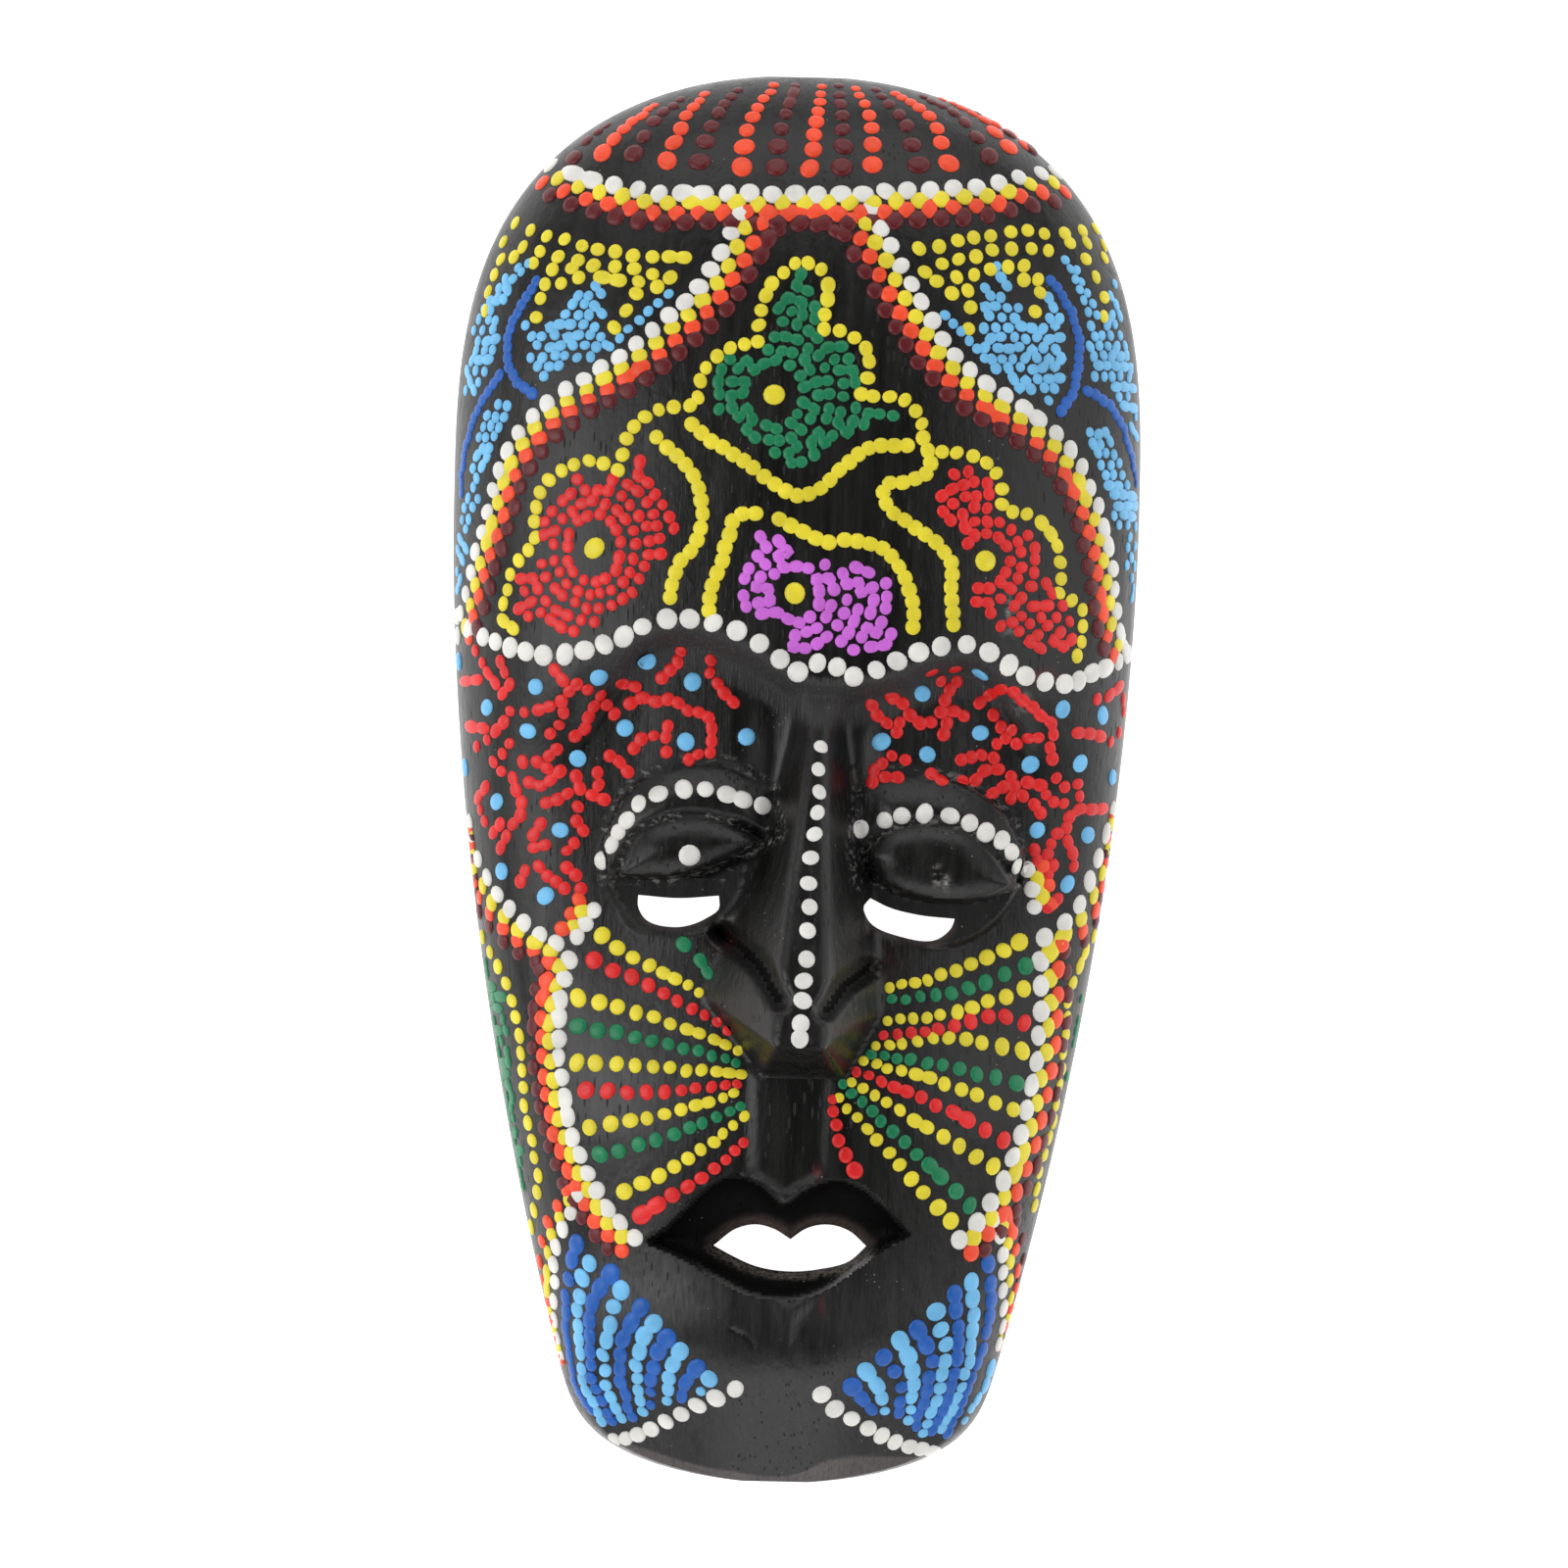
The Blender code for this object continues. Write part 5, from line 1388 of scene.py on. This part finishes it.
def wood_material(name, gloss):
    """Wood stained black and waxed, with pores along the grain, painted sheen on slopes that catch light,
    painted shade in hollows and creases, and bare wood inside.
    """
    material, tree, shader = new_material(name)
    patterns = {}
    for key, (stretch, detail, roughness) in WOOD_PATTERNS.items():
        patterns[key] = noise(tree, scaled(tree, stretch), 1.0, detail, roughness)
    grain, streak = patterns["grain"], patterns["streak"]
    pores = times(tree, ranged(tree, cells(tree, PORE_CELLS), *PORE_RANGE),
                  ranged(tree, patterns["cloud"], *PORE_CLOUD))
    specks = times(tree, ranged(tree, cells(tree, SPECK_CELLS), *SPECK_RANGE),
                   ranged(tree, patterns["dust"], *SPECK_DUST))
    # Painted sheen: grey where slopes catch light, broken up by the grain
    rubbed = blend(tree, ranged(tree, grain, *MID_RANGE), *PAINTED_SHEEN)
    colour = blend(tree, ranged(tree, streak, *MID_RANGE), *STAIN)
    colour = layered(tree, patterns, colour, ((*PAINTED_SHEEN_LAYER, rubbed),))
    colour = blend(tree, times(tree, pores, PORE_SHARE), colour, PORE)
    # Layers that bring painted sheen, painted highlights, painted shade and painted glints, with the scrapes,
    # wear and bare brown under them
    colour = layered(tree, patterns, colour, LOWER_LAYERS)
    bare = blend(tree, ranged(tree, grain, *BARE_RANGE), *BARE)
    colour = blend(tree, mark(tree, "raw"), colour, bare)
    # Wear on the mouth ledge with its painted highlight, then smears of paint
    colour = layered(tree, patterns, colour, UPPER_LAYERS)
    colour = blend(tree, times(tree, specks, SPECK_SHARE), colour, SPECK)
    colour = blend(tree, mark(tree, "cracked"), colour, CRACKED)
    tree.links.new(colour, shader.inputs["Base Color"])
    rough = ranged(tree, streak, *WOOD_ROUGH)
    for key, more in MORE_ROUGH:
        rough = plus(tree, rough, times(tree, mark(tree, key), more))
    rough = plus(tree, rough, times(tree, pores, PORE_ROUGH))
    tree.links.new(rough, shader.inputs["Roughness"])
    shader.inputs["Specular IOR Level"].default_value = gloss
    scrapes = plus(tree, times(tree, mark(tree, "scraped"), ranged(tree, patterns["scratch"], *SCRAPE_BUMP)),
                   times(tree, mark(tree, "scratched"), ranged(tree, patterns["nicks"], *SCRATCH_BUMP)))
    normal = None
    for height, relief in ((grain, GRAIN_RELIEF), (patterns["lumps"], LUMP_RELIEF),
                           (times(tree, pores, -1.0), PORE_RELIEF), (scrapes, SCRAPE_RELIEF)):
        normal = bump(tree, height, *relief, normal)
    tree.links.new(normal, shader.inputs["Normal"])
    return material


def set_hollow_faces(mesh):
    """The wax never reached the hollows of mouth and eyes, so they don't shine: faces well inside their
    painted shade take the dull material.
    """
    deep = np.empty(len(mesh.vertices))
    mesh.attributes["deep"].data.foreach_get("value", deep)
    for face in mesh.polygons:
        if min(deep[i] for i in face.vertices) > UNWAXED_FROM:
            face.material_index = 1


def paint_material(name, colour):
    """Thick acrylic that dried with a soft gloss, thinner and darker in places."""
    material, tree, shader = new_material(name)
    places = scaled(tree, PAINT_STRETCH)
    broad, fine = noise(tree, places, *PAINT_BROAD), noise(tree, places, *PAINT_FINE)
    darker = tuple(PAINT_DARKER * value for value in colour) + (1,)
    lighter = tuple(min(1.0, PAINT_LIGHTER * value + PAINT_LIFT) for value in colour) + (1,)
    pitted = tuple(PAINT_PIT * value for value in colour) + (1,)
    base = blend(tree, ranged(tree, broad, *BARE_RANGE), darker, lighter)
    base = blend(tree, ranged(tree, fine, *PAINT_PITS), base, pitted)
    tree.links.new(base, shader.inputs["Base Color"])
    tree.links.new(ranged(tree, fine, *PAINT_ROUGH), shader.inputs["Roughness"])
    tree.links.new(bump(tree, plus(tree, fine, broad), *PAINT_RELIEF), shader.inputs["Normal"])
    shader.inputs["Specular IOR Level"].default_value = PAINT_GLOSS
    return material


def add_floor():
    """A plain white surface that glows a little, as on a light table."""
    mesh = bpy.data.meshes.new("floor")
    corners = [(x * FLOOR_REACH, y * FLOOR_REACH, 0) for x, y in ((-1, -1), (1, -1), (1, 1), (-1, 1))]
    mesh.from_pydata(corners, [], [(0, 1, 2, 3)])
    floor = bpy.data.objects.new("floor", mesh)
    bpy.context.scene.collection.objects.link(floor)
    floor.location.z = FLOOR_Z
    material, _, shader = new_material("floor")
    settings = (("Base Color", FLOOR_COLOUR), ("Roughness", 1.0), ("Emission Color", (1, 1, 1, 1)),
                ("Emission Strength", 1.0))
    for socket, value in settings:
        shader.inputs[socket].default_value = value
    mesh.materials.append(material)


def add_light(name, place, size, power):
    light = bpy.data.lights.new(name, "AREA")
    light.shape = "RECTANGLE"
    light.size, light.size_y = size
    light.energy = power
    obj = bpy.data.objects.new(name, light)
    bpy.context.scene.collection.objects.link(obj)
    obj.location = place
    obj.rotation_euler = (-Vector(place)).to_track_quat("-Z", "Y").to_euler()


def add_world():
    """A light tent, open and dark overhead."""
    world = bpy.data.worlds.new("tent")
    bpy.context.scene.world = world
    world.use_nodes = True
    tree = world.node_tree
    way = add_node(tree, "ShaderNodeTexCoord").outputs["Generated"]
    up = add_node(tree, "ShaderNodeSeparateXYZ", ((0, way),)).outputs["Z"]
    tent = blend(tree, ranged(tree, up, *TENT_SIDES_UP), TENT_FOOT, TENT_SIDES)
    tent = blend(tree, ranged(tree, up, *TENT_TOP_UP), tent, TENT_TOP)
    tree.links.new(tent, tree.nodes["Background"].inputs["Color"])
    tree.nodes["Background"].inputs["Strength"].default_value = TENT_STRENGTH


def add_camera():
    """Straight above the mask, turned as far as the mask leans in the photograph."""
    camera = bpy.data.objects.new("camera", bpy.data.cameras.new("camera"))
    camera.data.lens = CAMERA_LENS
    camera.data.sensor_width = CAMERA_SENSOR
    camera.data.clip_end = CAMERA_CLIP
    right = (CAMERA_PX[0] - PX_MIDDLE[0]) * PX_STEP / 1000
    up = (PX_MIDDLE[1] - CAMERA_PX[1]) * PX_STEP / 1000
    x = right * math.cos(CAMERA_ROLL) - up * math.sin(CAMERA_ROLL)
    y = right * math.sin(CAMERA_ROLL) + up * math.cos(CAMERA_ROLL)
    camera.matrix_world = Matrix.Translation((x, y, CAMERA_HIGH)) @ Matrix.Rotation(CAMERA_ROLL, 4, "Z")
    bpy.context.scene.collection.objects.link(camera)
    bpy.context.scene.camera = camera


def main():
    body = carved_body()
    mark_wood(body)
    body.data.materials.clear()
    body.data.materials.append(wood_material("stained_wood", WAXED_GLOSS))
    body.data.materials.append(wood_material("unwaxed_hollows", UNWAXED_GLOSS))
    set_hollow_faces(body.data)
    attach(body, "root")
    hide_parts("carved_mask")
    for lay in (lay_forehead, lay_flowers, lay_upper_sides, lay_temples, lay_eyes_and_nose,
                lay_cheeks_and_chin):
        lay()
    table = lattice()
    for colour, base in PAINTS.items():
        piece = paint_piece(colour, table)
        piece.data.materials.append(paint_material(colour, base))
        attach(piece, "root")
    add_floor()
    for light in LIGHTS:
        add_light(*light)
    add_world()
    add_camera()
    bpy.context.scene.view_settings.view_transform = "Standard"


main()
